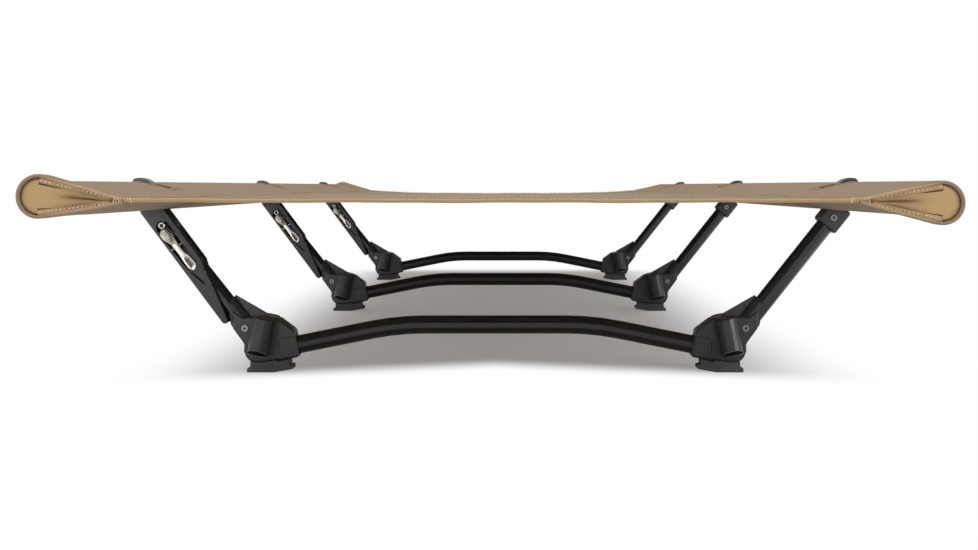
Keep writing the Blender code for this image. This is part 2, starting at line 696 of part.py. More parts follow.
def build_leg_set(name, y, shapes):
    """One leg set at a place along the cot."""
    base = guide(f"set_{name}", location=(0, y, 0))
    place(f"crossbar_{name}", shapes["crossbar"], "black_anodised", base)
    for side, turn in (("right", 0.0), ("left", math.pi)):
        half = guide(f"half_{side}_{name}", base, rotation=(0, 0, turn))
        place(f"hub_{side}_{name}", shapes["hub"], "black_plastic", half)
        place(f"foot_{side}_{name}", shapes["foot"], "rubber", half)
        place(f"hub_rivet_{side}_{name}", shapes["hub_rivet"], "rivet", half, (RIVET_X, 0, RIVET_Z))
        arm = guide(f"arm_axis_{side}_{name}", half, (RIVET_X, 0, RIVET_Z), (0, ARM_LEAN, 0))
        if side == "right":
            place(f"arm_tube_{name}", shapes["arm"], "black_anodised", arm)
            place(f"clip_right_{name}", shapes["clip_right"], "black_plastic", arm)
            place(f"clip_rivet_{name}", shapes["clip_rivet"], "rivet", arm, (0, 0, CLIP_PIN_REACH))
        else:
            place(f"link_tube_{name}", shapes["link"], "black_anodised", arm)
            place(f"clip_left_{name}", shapes["clip_left"], "black_plastic", arm)
            place(f"lever_pin_{name}", shapes["lever_pin"], "steel", arm, (0, 0, CLIP_PIN_REACH))
            build_lever(name, arm, shapes)


def build_lever(name, arm, shapes):
    """The lever and its latch, each with its origin on its own pin."""
    pivot = guide(f"lever_axis_{name}", arm, (0, 0, CLIP_PIN_REACH), (0, LEVER_TILT, 0))
    place(f"lever_{name}", shapes["lever"], "black_plastic", pivot)
    rock = guide(f"latch_axis_{name}", pivot, (0, LATCH_PIN_Y, -LATCH_PIN_DROP))
    place(f"latch_{name}", shapes["latch"], "steel", rock)
    place(f"latch_pin_{name}", shapes["latch_pin"], "steel", rock)


def main():
    """Make each shape once, then place the pieces."""
    clear_scene()
    pin_half = LEVER_HALF_DEPTH - LEVER_CHEEK + LEVER_PIN_SEAT
    shapes = {
        "crossbar": crossbar_mesh(),
        "hub": hub_mesh(),
        "foot": foot_mesh(),
        "hub_rivet": rivet_mesh(HUB_HALF_DEPTH),
        "clip_rivet": rivet_mesh(COLLAR_HALF),
        "arm": arm_mesh(ARM_REACH - ARM_TOP_MARGIN, (0.0, CLIP_PIN_REACH)),
        "link": arm_mesh(LINK_TOP_REACH, (0.0,)),
        "clip_right": clip_right_mesh(),
        "clip_left": clip_left_mesh(),
        "lever": lever_mesh(),
        "lever_pin": baked(rod("lever_pin_master", LEVER_PIN_RADIUS, (0, -pin_half, 0), (0, pin_half, 0),
                               12)),
        "latch": latch_mesh(),
        "latch_pin": baked(rod("latch_pin_master", LATCH_PIN_RADIUS, (LATCH_PIN_INNER, 0, 0),
                               (LATCH_PIN_OUTER, 0, 0), 8)),
    }
    for name, y in SETS:
        build_leg_set(name, y, shapes)
    build_poles()
    place("sling", sling_mesh(), "fabric")
    bpy.context.view_layer.update()


main()
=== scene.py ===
"""Looks of the camping cot: fabric, frame finishes, floor, light and camera."""

import logging
import math
from dataclasses import dataclass, field
from enum import Enum
from itertools import accumulate
from typing import Callable, Iterable, Sequence

import bmesh
import bpy
from bpy.types import Material, Mesh, Object
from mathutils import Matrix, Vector


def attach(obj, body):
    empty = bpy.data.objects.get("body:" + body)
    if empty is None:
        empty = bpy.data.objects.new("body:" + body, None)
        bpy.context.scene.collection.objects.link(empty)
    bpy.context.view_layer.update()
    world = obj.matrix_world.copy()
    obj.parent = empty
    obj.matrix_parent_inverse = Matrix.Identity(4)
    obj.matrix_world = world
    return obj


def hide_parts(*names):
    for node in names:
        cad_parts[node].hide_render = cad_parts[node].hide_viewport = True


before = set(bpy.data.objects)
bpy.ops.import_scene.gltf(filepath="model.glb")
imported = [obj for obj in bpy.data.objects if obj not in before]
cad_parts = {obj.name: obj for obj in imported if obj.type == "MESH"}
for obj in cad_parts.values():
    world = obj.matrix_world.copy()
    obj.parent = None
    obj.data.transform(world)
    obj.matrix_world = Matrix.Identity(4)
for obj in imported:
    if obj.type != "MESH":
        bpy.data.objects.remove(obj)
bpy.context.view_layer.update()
LOG = logging.getLogger("cot")

Point = tuple[float, float]
Triple = tuple[float, float, float]
SETS = {"front": -0.65, "middle": 0.0, "rear": 0.65}
SIDES = (-1, 1)
SIDE_NAMES = {-1: "left", 1: "right"}
END_NAMES = {-1: "front", 1: "rear"}
MIDWAY = 0.5
STRAIGHT_STEPS = 14
LOOP_STEPS = 26


class Sock:
    """A node socket with arithmetic, so that shader maths reads as Python."""

    def __init__(self, tree: "Tree", socket: bpy.types.NodeSocket) -> None:
        """Keep the tree and the output socket."""
        self.tree = tree
        self.socket = socket

    def _math(self, operation: str, *values: "Sock | float", clamp: bool = False) -> "Sock":
        """Add a Math node on some values."""
        return self.tree.node("ShaderNodeMath", {"operation": operation, "use_clamp": clamp}, values)

    def __add__(self, other: "Sock | float") -> "Sock":
        """Sum."""
        return self._math("ADD", self, other)

    def __mul__(self, other: "Sock | float") -> "Sock":
        """Product."""
        return self._math("MULTIPLY", self, other)

    def __sub__(self, other: "Sock | float") -> "Sock":
        """Difference."""
        return self._math("SUBTRACT", self, other)

    def __rsub__(self, other: "Sock | float") -> "Sock":
        """Difference with the number first."""
        return self._math("SUBTRACT", other, self)

    __radd__ = __add__
    __rmul__ = __mul__

    def absolute(self) -> "Sock":
        """Size of this socket without its sign."""
        return self._math("ABSOLUTE", self)

    def sine(self) -> "Sock":
        """Sine of this socket."""
        return self._math("SINE", self)

    def clamped(self) -> "Sock":
        """This socket held between 0 and 1."""
        return self._math("ADD", self, 0.0, clamp=True)


class Tree:
    """A node tree whose nodes are added with their settings and inputs."""

    def __init__(self, tree: bpy.types.NodeTree) -> None:
        """Keep the tree's nodes and links."""
        self.nodes = tree.nodes
        self.links = tree.links

    def node(self, kind: str, settings: dict | None = None, values: Sequence | dict | None = None,
             output: int | str = 0) -> Sock:
        """Add one node.

        Args:
            kind: The node's type.
            settings: Attributes that are set first.
            values: Input values or links, by order or by name.
            output: Which output to return.

        Returns:
            The chosen output, wrapped.
        """
        made = self.nodes.new(kind)
        for key, value in (settings or {}).items():
            setattr(made, key, value)
        for key, value in values.items() if isinstance(values, dict) else enumerate(values or ()):
            if isinstance(value, Sock):
                self.links.new(value.socket, made.inputs[key])
            else:
                made.inputs[key].default_value = value
        return Sock(self, made.outputs[output])

    def several(self, kind: str, names: Iterable[int | str], values: Sequence = ()) -> list[Sock]:
        """Add one node and return several of its outputs."""
        outputs = self.node(kind, None, values).socket.node.outputs
        return [Sock(self, outputs[name]) for name in names]

    def split(self, vector: Sock) -> list[Sock]:
        """The x, y and z of a vector."""
        return self.several("ShaderNodeSeparateXYZ", range(3), [vector])


class Shader(Tree):
    """A material's node tree round one Principled BSDF."""

    def __init__(self, name: str) -> None:
        """Start a material with its Principled shader."""
        self.material = bpy.data.materials.new(name)
        self.material.use_nodes = True
        super().__init__(self.material.node_tree)
        self.principled = self.nodes["Principled BSDF"]

    def place(self) -> Sock:
        """Object coordinates."""
        return self.node("ShaderNodeTexCoord", output="Object")

    def noise(self, vector: Sock, scale: float, detail: float = 3.0, rough: float = 0.55) -> Sock:
        """Value of a noise texture on a vector."""
        return self.node("ShaderNodeTexNoise", None,
                         {"Vector": vector, "Scale": scale, "Detail": detail, "Roughness": rough})

    def mix(self, factor: "Sock | float", first: "Sock | tuple", second: "Sock | tuple") -> Sock:
        """Blend of two colours."""
        first, second = (c if isinstance(c, Sock) else (*c, 1.0) for c in (first, second))
        return self.node("ShaderNodeMix", {"data_type": "RGBA"}, {0: factor, 6: first, 7: second}, 2)

    def crease(self) -> Sock:
        """The darkness stored on a piece's points: painted shade, and on the latch painted reflection too.
        """
        return self.node("ShaderNodeAttribute", {"attribute_name": "crease"}, output="Fac")

    def fade(self, value: Sock, start: float, end: float, most: float = 1.0) -> Sock:
        """The most before the start and 0 past the end, with a soft step between."""
        return self.node("ShaderNodeMapRange", {"interpolation_type": "SMOOTHSTEP"},
                         {"Value": value, "From Min": start, "From Max": end, "To Min": most, "To Max": 0.0})

    def feed(self, name: str, value: "Sock | float | tuple") -> None:
        """Set or link an input of the Principled shader."""
        if isinstance(value, Sock):
            self.links.new(value.socket, self.principled.inputs[name])
        else:
            self.principled.inputs[name].default_value = value

    def bump(self, height: Sock, distance: float, strength: float) -> None:
        """Feed the normal with a bump of a height."""
        self.feed("Normal", self.node("ShaderNodeBump", None, {"Strength": strength, "Distance": distance,
                                                               "Height": height}))


class Grain(Enum):
    """Surface texture of a hard finish.

    Each holds its fine noise's scale, detail and roughness, whether the broad noise varies the
    gloss in place of the fine one, by how much, and the depth and strength of its bump.
    """

    MOULDED = (1900.0, 2.0, 0.55, True, 0.18, 0.00012, 0.6)
    DRAWN = (700.0, 2.0, 0.55, False, 0.12, 0.00004, 0.4)
    BRUSHED = (1200.0, 4.0, 0.55, False, 0.22, 0.00005, 0.5)
    RUBBER = (900.0, 4.0, 0.7, True, 0.1, 0.00025, 0.6)


@dataclass(frozen=True)
class HardFinish:
    """A plastic, rubber or metal finish."""

    name: str
    colour: Triple
    light: Triple
    roughness: float
    metallic: float
    grain: Grain
    specular: float = 0.5
    painted_shade_and_reflection: bool = False

    def build(self) -> Material:
        """Make the material: mottled colour, uneven gloss and a fine grain."""
        s = Shader(self.name)
        place = s.place()
        cloudy = s.noise(place, 38.0)
        base = s.mix(cloudy, self.colour, self.light)
        # Painted shade and reflection: where the crease attribute is set, the colour is darkened towards a
        # dark olive for shade in hollows and for dark surroundings seen in the metal.
        if self.painted_shade_and_reflection:
            base = s.mix(s.crease().clamped(), base, (0.050, 0.046, 0.034))
        scale, detail, rough, broad, swing, depth, strength = self.grain.value
        fine = s.noise(place, scale, detail, rough)
        s.feed("Base Color", base)
        s.feed("Metallic", self.metallic)
        s.feed("Specular IOR Level", self.specular)
        s.feed("Roughness", self.roughness + ((cloudy if broad else fine) - MIDWAY) * swing)
        s.bump(fine, depth, strength)
        return s.material


@dataclass(frozen=True)
class WovenFinish:
    """Tan woven polyester: crossed threads, slub, a dusty sheen."""

    name: str
    colour: Triple
    light: Triple
    shade: Triple
    threads: float = 1500.0
    sheen: float = 0.25
    painted_shade: bool = False
    # A paler colour painted over the cot's middle as painted sheen, where the cloth catches more light.
    pale: Triple | None = None
    specular: float = 0.25

    def build(self) -> Material:
        """Make the material on the cloth's own UV map, in metres."""
        s = Shader(self.name)
        uv = s.node("ShaderNodeUVMap", {"uv_map": "cloth"})
        u, v, _ = s.split(uv)
        rate = self.threads * math.pi
        weave = ((u * rate).sine() * (v * rate).sine()) * MIDWAY + MIDWAY
        slub = s.noise(uv, 240.0)
        cloudy = s.noise(uv, 9.0, 4.0)
        threads = s.mix(weave, self.shade, self.light)
        base = s.mix(0.55 + (slub - MIDWAY) * 0.5, threads, self.colour)
        base = s.mix((cloudy * 0.5).clamped(), base, self.colour)
        # Painted sheen: the colour is blended towards the paler tone near the cot's middle.
        if self.pale:
            from_middle = s.split(s.place())[0].absolute()
            base = s.mix(s.fade(from_middle, 0.02, 0.32, 0.42), base, self.pale)
        # Painted shade: where the crease attribute is set, the colour is darkened, for shade in the pleats,
        # towards the pinch and on the rim's outer side.
        if self.painted_shade:
            dark = tuple(0.22 * c for c in self.shade)
            base = s.mix((s.crease() * 0.9).clamped(), base, dark)
        s.feed("Base Color", base)
        s.feed("Roughness", 0.78 + (slub - MIDWAY) * 0.2)
        s.feed("Sheen Weight", self.sheen)
        s.feed("Sheen Roughness", 0.45)
        s.feed("Specular IOR Level", self.specular)
        lengthwise = s.node("ShaderNodeVectorMath", {"operation": "MULTIPLY"}, [uv, (1.0, 0.35, 1.0)])
        broad = s.noise(lengthwise, 17.0, 2.0, 0.4)
        s.bump(weave * 0.6 + slub * 0.7 + broad * 14.0, 0.00022, 0.7)
        return s.material


TUBE = HardFinish("black_tube", (0.011, 0.011, 0.012), (0.019, 0.019, 0.020), 0.32, 0.0, Grain.DRAWN, 0.6)
MOULDING = HardFinish("black_moulding", (0.035, 0.035, 0.036), (0.057, 0.057, 0.058), 0.33, 0.0,
                      Grain.MOULDED)
LEVER = HardFinish("lever_moulding", (0.019, 0.018, 0.021), (0.031, 0.030, 0.035), 0.38, 0.0, Grain.MOULDED)
RUBBER = HardFinish("foot_rubber", (0.066, 0.066, 0.067), (0.104, 0.104, 0.106), 0.68, 0.0, Grain.RUBBER)
STEEL = HardFinish("latch_steel", (0.56, 0.525, 0.46), (0.86, 0.83, 0.77), 0.25, 1.0, Grain.BRUSHED)
RIVET = HardFinish("rivet_metal", (0.16, 0.16, 0.165), (0.34, 0.34, 0.35), 0.30, 1.0, Grain.BRUSHED)
# The cloth's pale tone is painted sheen over its middle.
CLOTH = WovenFinish("tan_cloth", (0.202, 0.134, 0.070), (0.270, 0.184, 0.101), (0.130, 0.085, 0.043), 1700.0,
                    0.08, pale=(0.275, 0.208, 0.142), specular=0.18)
# The latch's colour carries painted shade and painted reflection from its crease attribute.
LATCH = HardFinish("bright_latch", (0.56, 0.53, 0.465), (0.80, 0.77, 0.70), 0.33, 1.0, Grain.BRUSHED,
                   painted_shade_and_reflection=True)
SEAM = HardFinish("seam_thread", (0.250, 0.182, 0.112), (0.330, 0.245, 0.155), 0.7, 0.0, Grain.RUBBER)
BINDING = WovenFinish("tan_binding", (0.360, 0.238, 0.118), (0.450, 0.308, 0.168), (0.260, 0.166, 0.076))
# Painted shade: the windows' binding is painted darker than the hems' for the shade in the slit beside it.
WINDOW_SHADE = WovenFinish("shaded_window_edge", (0.190, 0.125, 0.062), (0.260, 0.175, 0.092), (0.120, 0.078, 0.038))
# The end panel and the rim carry painted shade from the crease attribute.
PANEL = WovenFinish("tan_end_panel", (0.430, 0.276, 0.128), (0.535, 0.354, 0.174), (0.320, 0.196, 0.084),
                    1700.0, painted_shade=True)
RIM = WovenFinish("tan_rim", (0.370, 0.245, 0.130), (0.490, 0.335, 0.195), (0.255, 0.165, 0.080),
                  painted_shade=True)
# Painted shadow: near-black strips laid beside the flaps where the crease is in shade.
FOLD_SHADOW = WovenFinish("painted_fold_shadow", (0.066, 0.038, 0.016), (0.088, 0.052, 0.023), (0.044, 0.025, 0.010))
THREAD = HardFinish("sewing_thread", (0.640, 0.455, 0.275), (0.780, 0.580, 0.370), 0.6, 0.0, Grain.RUBBER)
SHADE = HardFinish("deep_shade", (0.004, 0.004, 0.005), (0.007, 0.007, 0.008), 0.85, 0.0, Grain.RUBBER, 0.1)
# Painted highlight: a lighter copy of the black moulding, for the bright edge lines on the socket lips and
# the lever ridge.
LIP_HIGHLIGHT = HardFinish("painted_highlight_lip", (0.115, 0.115, 0.117), (0.150, 0.150, 0.153), 0.30, 0.0, Grain.MOULDED)
# Painted shade: dark dots for the shade inside the needle holes.
NEEDLE_HOLE_SHADE = HardFinish("needle_hole_shade", (0.060, 0.034, 0.016), (0.100, 0.058, 0.028), 0.9, 0.0, Grain.RUBBER)


def linked(name: str, data: bpy.types.ID) -> Object:
    """A new object at the origin, linked to the scene."""
    made = bpy.data.objects.new(name, data)
    bpy.context.scene.collection.objects.link(made)
    return made


def loft(name: str, rows: Sequence[Sequence[Vector]], material: Material, ring: bool = False,
         joined: bool = False, creases: Sequence[Sequence[float]] = (),
         uv: Callable[[int, int], Point] | None = None,
         hole: Callable[[Vector], bool] | None = None) -> Object:
    """A smooth piece through rows of points.

    Args:
        name: The piece's name.
        rows: Its points, row by row.
        material: What it is made of.
        ring: Whether each row closes on itself. The end rings are capped unless they are joined.
        joined: Whether the last row meets the first.
        creases: Darkness of each point, row by row, for painted shade.
        uv: UV place of a point by its row and column.
        hole: Whether there is no face round a place.

    Returns:
        The piece.
    """
    bm = bmesh.new()
    layer = bm.loops.layers.uv.new("cloth") if uv else None
    shade = bm.verts.layers.float.new("crease") if creases else None
    grid = [[bm.verts.new(point) for point in row] for row in rows]
    for verts, darks in zip(grid, creases):
        for vert, dark in zip(verts, darks):
            vert[shade] = dark
    for j in range(len(grid) if joined else len(grid) - 1):
        width = len(grid[j])
        for k in range(width if ring else width - 1):
            corners = ((j, k), (j, k + 1), (j + 1, k + 1), (j + 1, k))
            verts = [grid[a % len(grid)][b % width] for a, b in corners]
            if hole and hole(sum((v.co for v in verts), Vector()) / 4):
                continue
            face = bm.faces.new(verts)
            if uv:
                for loop, corner in zip(face.loops, corners):
                    loop[layer].uv = uv(*corner)
    if ring and not joined:
        bm.faces.new(grid[0][::-1])
        bm.faces.new(grid[-1])
    bmesh.ops.delete(bm, geom=[v for v in bm.verts if not v.link_faces], context="VERTS")
    bmesh.ops.recalc_face_normals(bm, faces=bm.faces)
    mesh = bpy.data.meshes.new(name)
    bm.to_mesh(mesh)
    bm.free()
    mesh.materials.append(material)
    mesh.shade_smooth()
    return linked(name, mesh)


def evaluated(piece: Object) -> Mesh:
    """A piece's shape as plain mesh, with its modifiers or bevel."""
    return bpy.data.meshes.new_from_object(piece.evaluated_get(bpy.context.evaluated_depsgraph_get()))


def settle(piece: Object) -> Object:
    """Turn a piece's modifiers into plain mesh."""
    mesh = evaluated(piece)
    piece.modifiers.clear()
    piece.data = mesh
    return piece


def thicken(piece: Object, thickness: float, offset: float = 0.0) -> Object:
    """Give a sheet its thickness, on both sides unless the offset says which."""
    wall = piece.modifiers.new("wall", "SOLIDIFY")
    wall.thickness = thickness
    wall.offset = offset
    return settle(piece)


def round_strand(name: str, line: Sequence[Vector], radius: float, steps: int, capped: bool,
                 material: Material) -> Object:
    """A round strand along a line, as plain mesh.

    Args:
        name: The piece's name.
        line: Points of its middle line.
        radius: Its radius.
        steps: Steps of its roundness.
        capped: Whether its ends are closed.
        material: What it is made of.

    Returns:
        The strand.
    """
    data = bpy.data.curves.new(name, "CURVE")
    data.dimensions = "3D"
    data.bevel_depth = radius
    data.bevel_resolution = steps
    data.use_fill_caps = capped
    spline = data.splines.new("POLY")
    spline.points.add(len(line) - 1)
    for point, place in zip(spline.points, line):
        point.co = (*place, 1.0)
    curve = linked(name, data)
    mesh = evaluated(curve)
    bpy.data.objects.remove(curve, do_unlink=True)
    bpy.data.curves.remove(data)
    mesh.materials.clear()
    mesh.materials.append(material)
    return linked(name, mesh)


def finish_piece(piece: Object, body: str = "frame",
                 replaces: str | None = None) -> Object:
    """Ride a piece on its body, hide the CAD node it stands for if there is one, and log its faces."""
    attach(piece, body)
    if replaces:
        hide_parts(replaces)
    LOG.info("made %s: %d faces", piece.name, len(piece.data.polygons))
    return piece


@dataclass(frozen=True)
class Section:
    """The sling's cross-section at one place along the cot, in metres.

    The sleeve lies tight on the pole, and flares open at the last few centimetres of each end.
    """

    radius: float
    outermost: float
    pole_z: float = 0.1634
    pinch_x: float = 0.265
    bed_z: float = 0.1606
    fabric: float = 0.0010
    belly: float = 0.0

    @property
    def centre_x(self) -> float:
        """Middle of the sleeve's round part."""
        return self.outermost - self.radius

    @property
    def upper(self) -> float:
        """Height of the upper layer at the pinch."""
        return self.bed_z + self.fabric * 0.2

    @property
    def lower(self) -> float:
        """Height of the lower layer at the pinch."""
        return self.bed_z - self.fabric * 1.2

    def tangent(self, z: float, side: int, inset: float = 0.0) -> float:
        """Angle on the round part where the layer from the pinch meets it.

        Args:
            z: The layer's height at the pinch.
            side: 1 for the upper layer, -1 for the lower one.
            inset: How far inside the middle line the path runs.

        Returns:
            The angle, in radians.
        """
        reach = Vector((self.pinch_x - self.centre_x, z - self.pole_z))
        swing = math.acos((self.radius - inset) / reach.length)
        return math.atan2(reach.y, reach.x) % math.tau - side * swing

    def on_loop(self, angle: float, inset: float = 0.0) -> Point:
        """Point of the round part at an angle."""
        radius = self.radius - inset
        return (self.centre_x + radius * math.cos(angle), self.pole_z + radius * math.sin(angle))

    def teardrop(self, inset: float = 0.0, straight: int = STRAIGHT_STEPS, turns: int = LOOP_STEPS
                 ) -> list[Point]:
        """Closed-looking path from the pinch over the loop and back to the pinch.

        Args:
            inset: How far inside the middle line it runs.
            straight: Steps along each layer.
            turns: Steps round the loop.

        Returns:
            Points from the upper layer to the lower one.
        """
        first = self.tangent(self.upper, 1, inset)
        last = self.tangent(self.lower, -1, inset) - math.tau
        top, low = self.on_loop(first, inset), self.on_loop(last, inset)
        points = stepped((self.pinch_x, self.upper), top, straight)
        points += [self.on_loop(first + (last - first) * i / turns, inset) for i in range(turns)]
        points += stepped(low, (self.pinch_x, self.lower), straight)
        points.append((self.pinch_x, self.lower))
        return points[:straight] + [self.hung(p) for p in points[straight:]]

    def hung(self, point: Point) -> Point:
        """A point of the slack lower layer, lowered by the layer's own weight."""
        below = smooth((self.pole_z - point[1]) / self.radius)
        share = (point[0] - self.pinch_x) / (self.outermost - self.pinch_x)
        sunk = math.sin(math.pi * min(1.0, max(0.0, share))) ** 0.8
        return (point[0], point[1] - self.belly * below * sunk)

    def top_height(self, x: float) -> float:
        """Height of the upper layer's middle line at a distance from the cot's middle."""
        if x <= self.pinch_x:
            return self.upper
        knee = self.on_loop(self.tangent(self.upper, 1))
        if x < knee[0]:
            return self.upper + (knee[1] - self.upper) * (x - self.pinch_x) / (knee[0] - self.pinch_x)
        return self.pole_z + math.sqrt(max(0.0, self.radius ** 2 - (x - self.centre_x) ** 2))


def stepped(start: Point, end: Point, steps: int) -> list[Point]:
    """Evenly spaced points from start, without the end."""
    return [(start[0] + (end[0] - start[0]) * i / steps, start[1] + (end[1] - start[1]) * i / steps)
            for i in range(steps)]


def travelled(path: Sequence) -> list[float]:
    """The distance along a path to each of its points."""
    return [0.0, *accumulate(math.dist(a, b) for a, b in zip(path, path[1:]))]


def smooth(value: float) -> float:
    """A soft step from 0 to 1."""
    value = min(1.0, max(0.0, value))
    return value * value * (3 - 2 * value)


@dataclass(frozen=True)
class Bed:
    """Sizes of the whole sling, and its shape at any place along the cot."""

    half_length: float = 0.950
    tight: float = 0.0108
    flared: float = 0.0155
    tight_edge: float = 0.3381
    flared_edges: Point = (0.3402, 0.3388)
    flare_start: float = 0.868
    window_inner: float = 0.2982
    window_inner_below: float = 0.2927
    window_outer: float = 0.3362
    window_half: float = 0.0135
    window_split_z: float = 0.1612
    wrinkle: float = 0.0009
    slack: float = 0.0004
    rear_slack: float = 0.0052
    pole_z: float = 0.1634
    droop: float = 0.0046
    belly: float = 0.0056
    mouth: float = 0.006
    taut_half_width: float = 0.262
    ripple_reach: float = 0.10
    ripple_width: float = 0.075

    def section(self, y: float, side: int = -1) -> Section:
        """The cross-section at a place along the cot.

        Args:
            y: The place.
            side: Which sleeve; the right one's open ends hang from the pole's top.

        Returns:
            The section there.
        """
        share = smooth((abs(y) - self.flare_start) / (self.half_length - self.mouth - self.flare_start))
        radius = self.tight + (self.flared - self.tight) * share
        flared = self.flared_edges[1 if side > 0 else 0]
        edge = self.tight_edge + (flared - self.tight_edge) * share
        sunk = self.droop * share if side > 0 else 0.0
        return Section(radius, edge, self.pole_z - sunk, belly=self.belly * (1 - share))

    def sag(self, x: float, y: float) -> float:
        """Height of the taut fabric's ripples and faint sag."""
        side = abs(x)
        if side > self.window_inner + 0.004:
            return 0.0
        ripple = 0.0
        for place in SETS.values():
            away = (y - place) / self.ripple_reach
            ripple += math.exp(-away * away) * math.sin(6.5 * away + 60.0 * side)
        near = smooth(1 - abs(side - self.taut_half_width) / self.ripple_width)
        end = smooth((abs(y) - 0.90) / 0.05)
        run = math.sin(23.0 * y + 31.0 * side) * 0.5 + math.sin(51.0 * y - 17.0 * side) * 0.3
        rearward = smooth((y + self.half_length) / (2 * self.half_length))
        hollow = max(0.0, 1 - (side / self.taut_half_width) ** 4)
        waves = ripple * near + 0.35 * run * smooth((0.30 - side) / 0.1)
        return self.wrinkle * waves * (1 - end) - (self.slack + self.rear_slack * rearward) * hollow

    def top(self, x: float, y: float, lift: float = 0.0) -> tuple[float, float, float]:
        """A point on the fabric's upper face."""
        section = self.section(y, 1 if x > 0 else -1)
        return (x, y, section.top_height(abs(x)) + self.sag(x, y) + section.fabric / 2 + lift)

    def flat_width(self) -> float:
        """Width of the fabric before it was sewn into its sleeves."""
        section = self.section(0.0)
        return 2 * (section.pinch_x + travelled(section.teardrop())[-1])


@dataclass
class Cloth:
    """The one piece of fabric: bed panel and both sleeves, with the windows cut out."""

    bed: Bed = field(default_factory=Bed)
    edge_inset: float = 0.0004
    bay: float = 0.6
    bay_steps: int = 50
    least_steps: int = 14
    window_steps: int = 5
    across_steps: int = 20

    def stations(self) -> list[float]:
        """Places along the cot, with a line on each window's edges."""
        half = self.bed.half_length - self.edge_inset
        marks = [-half, -self.bed.flare_start]
        for y in SETS.values():
            marks += [y - self.bed.window_half, y + self.bed.window_half]
        marks += [self.bed.flare_start, half]
        places: list[float] = []
        for low, high in zip(marks, marks[1:]):
            count = max(self.least_steps, round(self.bay_steps * (high - low) / self.bay))
            if high - low < 3 * self.bed.window_half:
                count = self.window_steps
            places += [low + (high - low) * i / count for i in range(count)]
        return places + [half]

    def path(self, y: float) -> list[Point]:
        """The whole cross-section's middle line, from the left sleeve's end to the right one's."""
        flat = self.bed.section(y)
        panel = stepped((0.0, flat.upper), (flat.pinch_x, flat.upper), self.across_steps)
        left, right = (panel + self.snapped(self.bed.section(y, side)) for side in SIDES)
        return [(-x, z) for x, z in reversed(left[1:])] + right

    def snapped(self, section: Section) -> list[Point]:
        """The teardrop with points moved onto the windows' edges."""
        points = section.teardrop()
        bed = self.bed
        turn = max(range(len(points)), key=lambda i: points[i][0])
        low = STRAIGHT_STEPS + LOOP_STEPS + 1
        over, under = range(STRAIGHT_STEPS, turn), range(turn, low)
        for edge, span in ((bed.window_inner, range(1, STRAIGHT_STEPS)), (bed.window_outer, over),
                           (bed.window_outer, under), (bed.window_inner_below, range(low, len(points) - 2))):
            nearest = min(span, key=lambda i: abs(points[i][0] - edge))
            if span in (over, under):
                rise = math.sqrt(max(0.0, section.radius ** 2 - (edge - section.centre_x) ** 2))
                z = section.pole_z + rise
                if span == under:
                    z = section.hung((edge, section.pole_z - rise))[1]
            else:
                before, after = points[nearest - 1], points[nearest + 1]
                z = before[1] + (after[1] - before[1]) * (edge - before[0]) / (after[0] - before[0])
            points[nearest] = (edge, z)
        return points

    def in_window(self, centre: Vector) -> bool:
        """Whether a face centre lies in one of the cut-outs for the clips."""
        bed = self.bed
        if all(abs(centre.y - place) > bed.window_half for place in SETS.values()):
            return False
        inner = bed.window_inner if centre.z > bed.window_split_z else bed.window_inner_below
        return inner < abs(centre.x) < bed.window_outer

    def build(self) -> Object:
        """Make the cloth with its own UV map in metres."""
        places = self.stations()
        paths = [self.path(y) for y in places]
        lengths = travelled(paths[len(paths) // 2])
        rows = [[(x, y, z + self.bed.sag(x, y)) for x, z in path] for y, path in zip(places, paths)]
        cloth = loft("sling_cloth", rows, CLOTH.build(), hole=self.in_window,
                     uv=lambda row, column: (lengths[column], places[row]))
        thicken(cloth, self.bed.section(0.0).fabric)
        return finish_piece(cloth, replaces="sling")


def headings(path: Sequence[Vector]) -> list[Vector]:
    """The direction of a path at each of its points."""
    last = len(path) - 1
    return [(path[min(last, i + 1)] - path[max(0, i - 1)]).normalized() for i in range(len(path))]


@dataclass(frozen=True)
class Ribbon:
    """A strip swept along a path with a rounded cross-section."""

    name: str
    width: float
    depth: float
    finish: WovenFinish
    corners: int = 12
    fullness: float = 1.25

    def build(self, path: Sequence[Vector], across: Sequence[Vector], out: Sequence[Vector]
              ) -> Object:
        """Sweep the strip.

        Args:
            path: Points of its middle line.
            across: At each point, the direction of its width.
            out: At each point, the direction of its depth.

        Returns:
            The strip.
        """
        ring = []
        for corner in range(self.corners):
            angle = math.tau * (corner + MIDWAY) / self.corners
            wide, deep = (max(-1.0, min(1.0, self.fullness * turn(angle))) for turn in (math.cos, math.sin))
            ring.append((wide * self.width / 2, deep * self.depth / 2))
        along = travelled(path)
        rows = [[p + a * w + o * d for w, d in ring] for p, a, o in zip(path, across, out)]
        strip = loft(self.name, rows, self.finish.build(), ring=True,
                     uv=lambda row, column: (column * self.width / (self.corners / 2), along[row]))
        return finish_piece(strip)


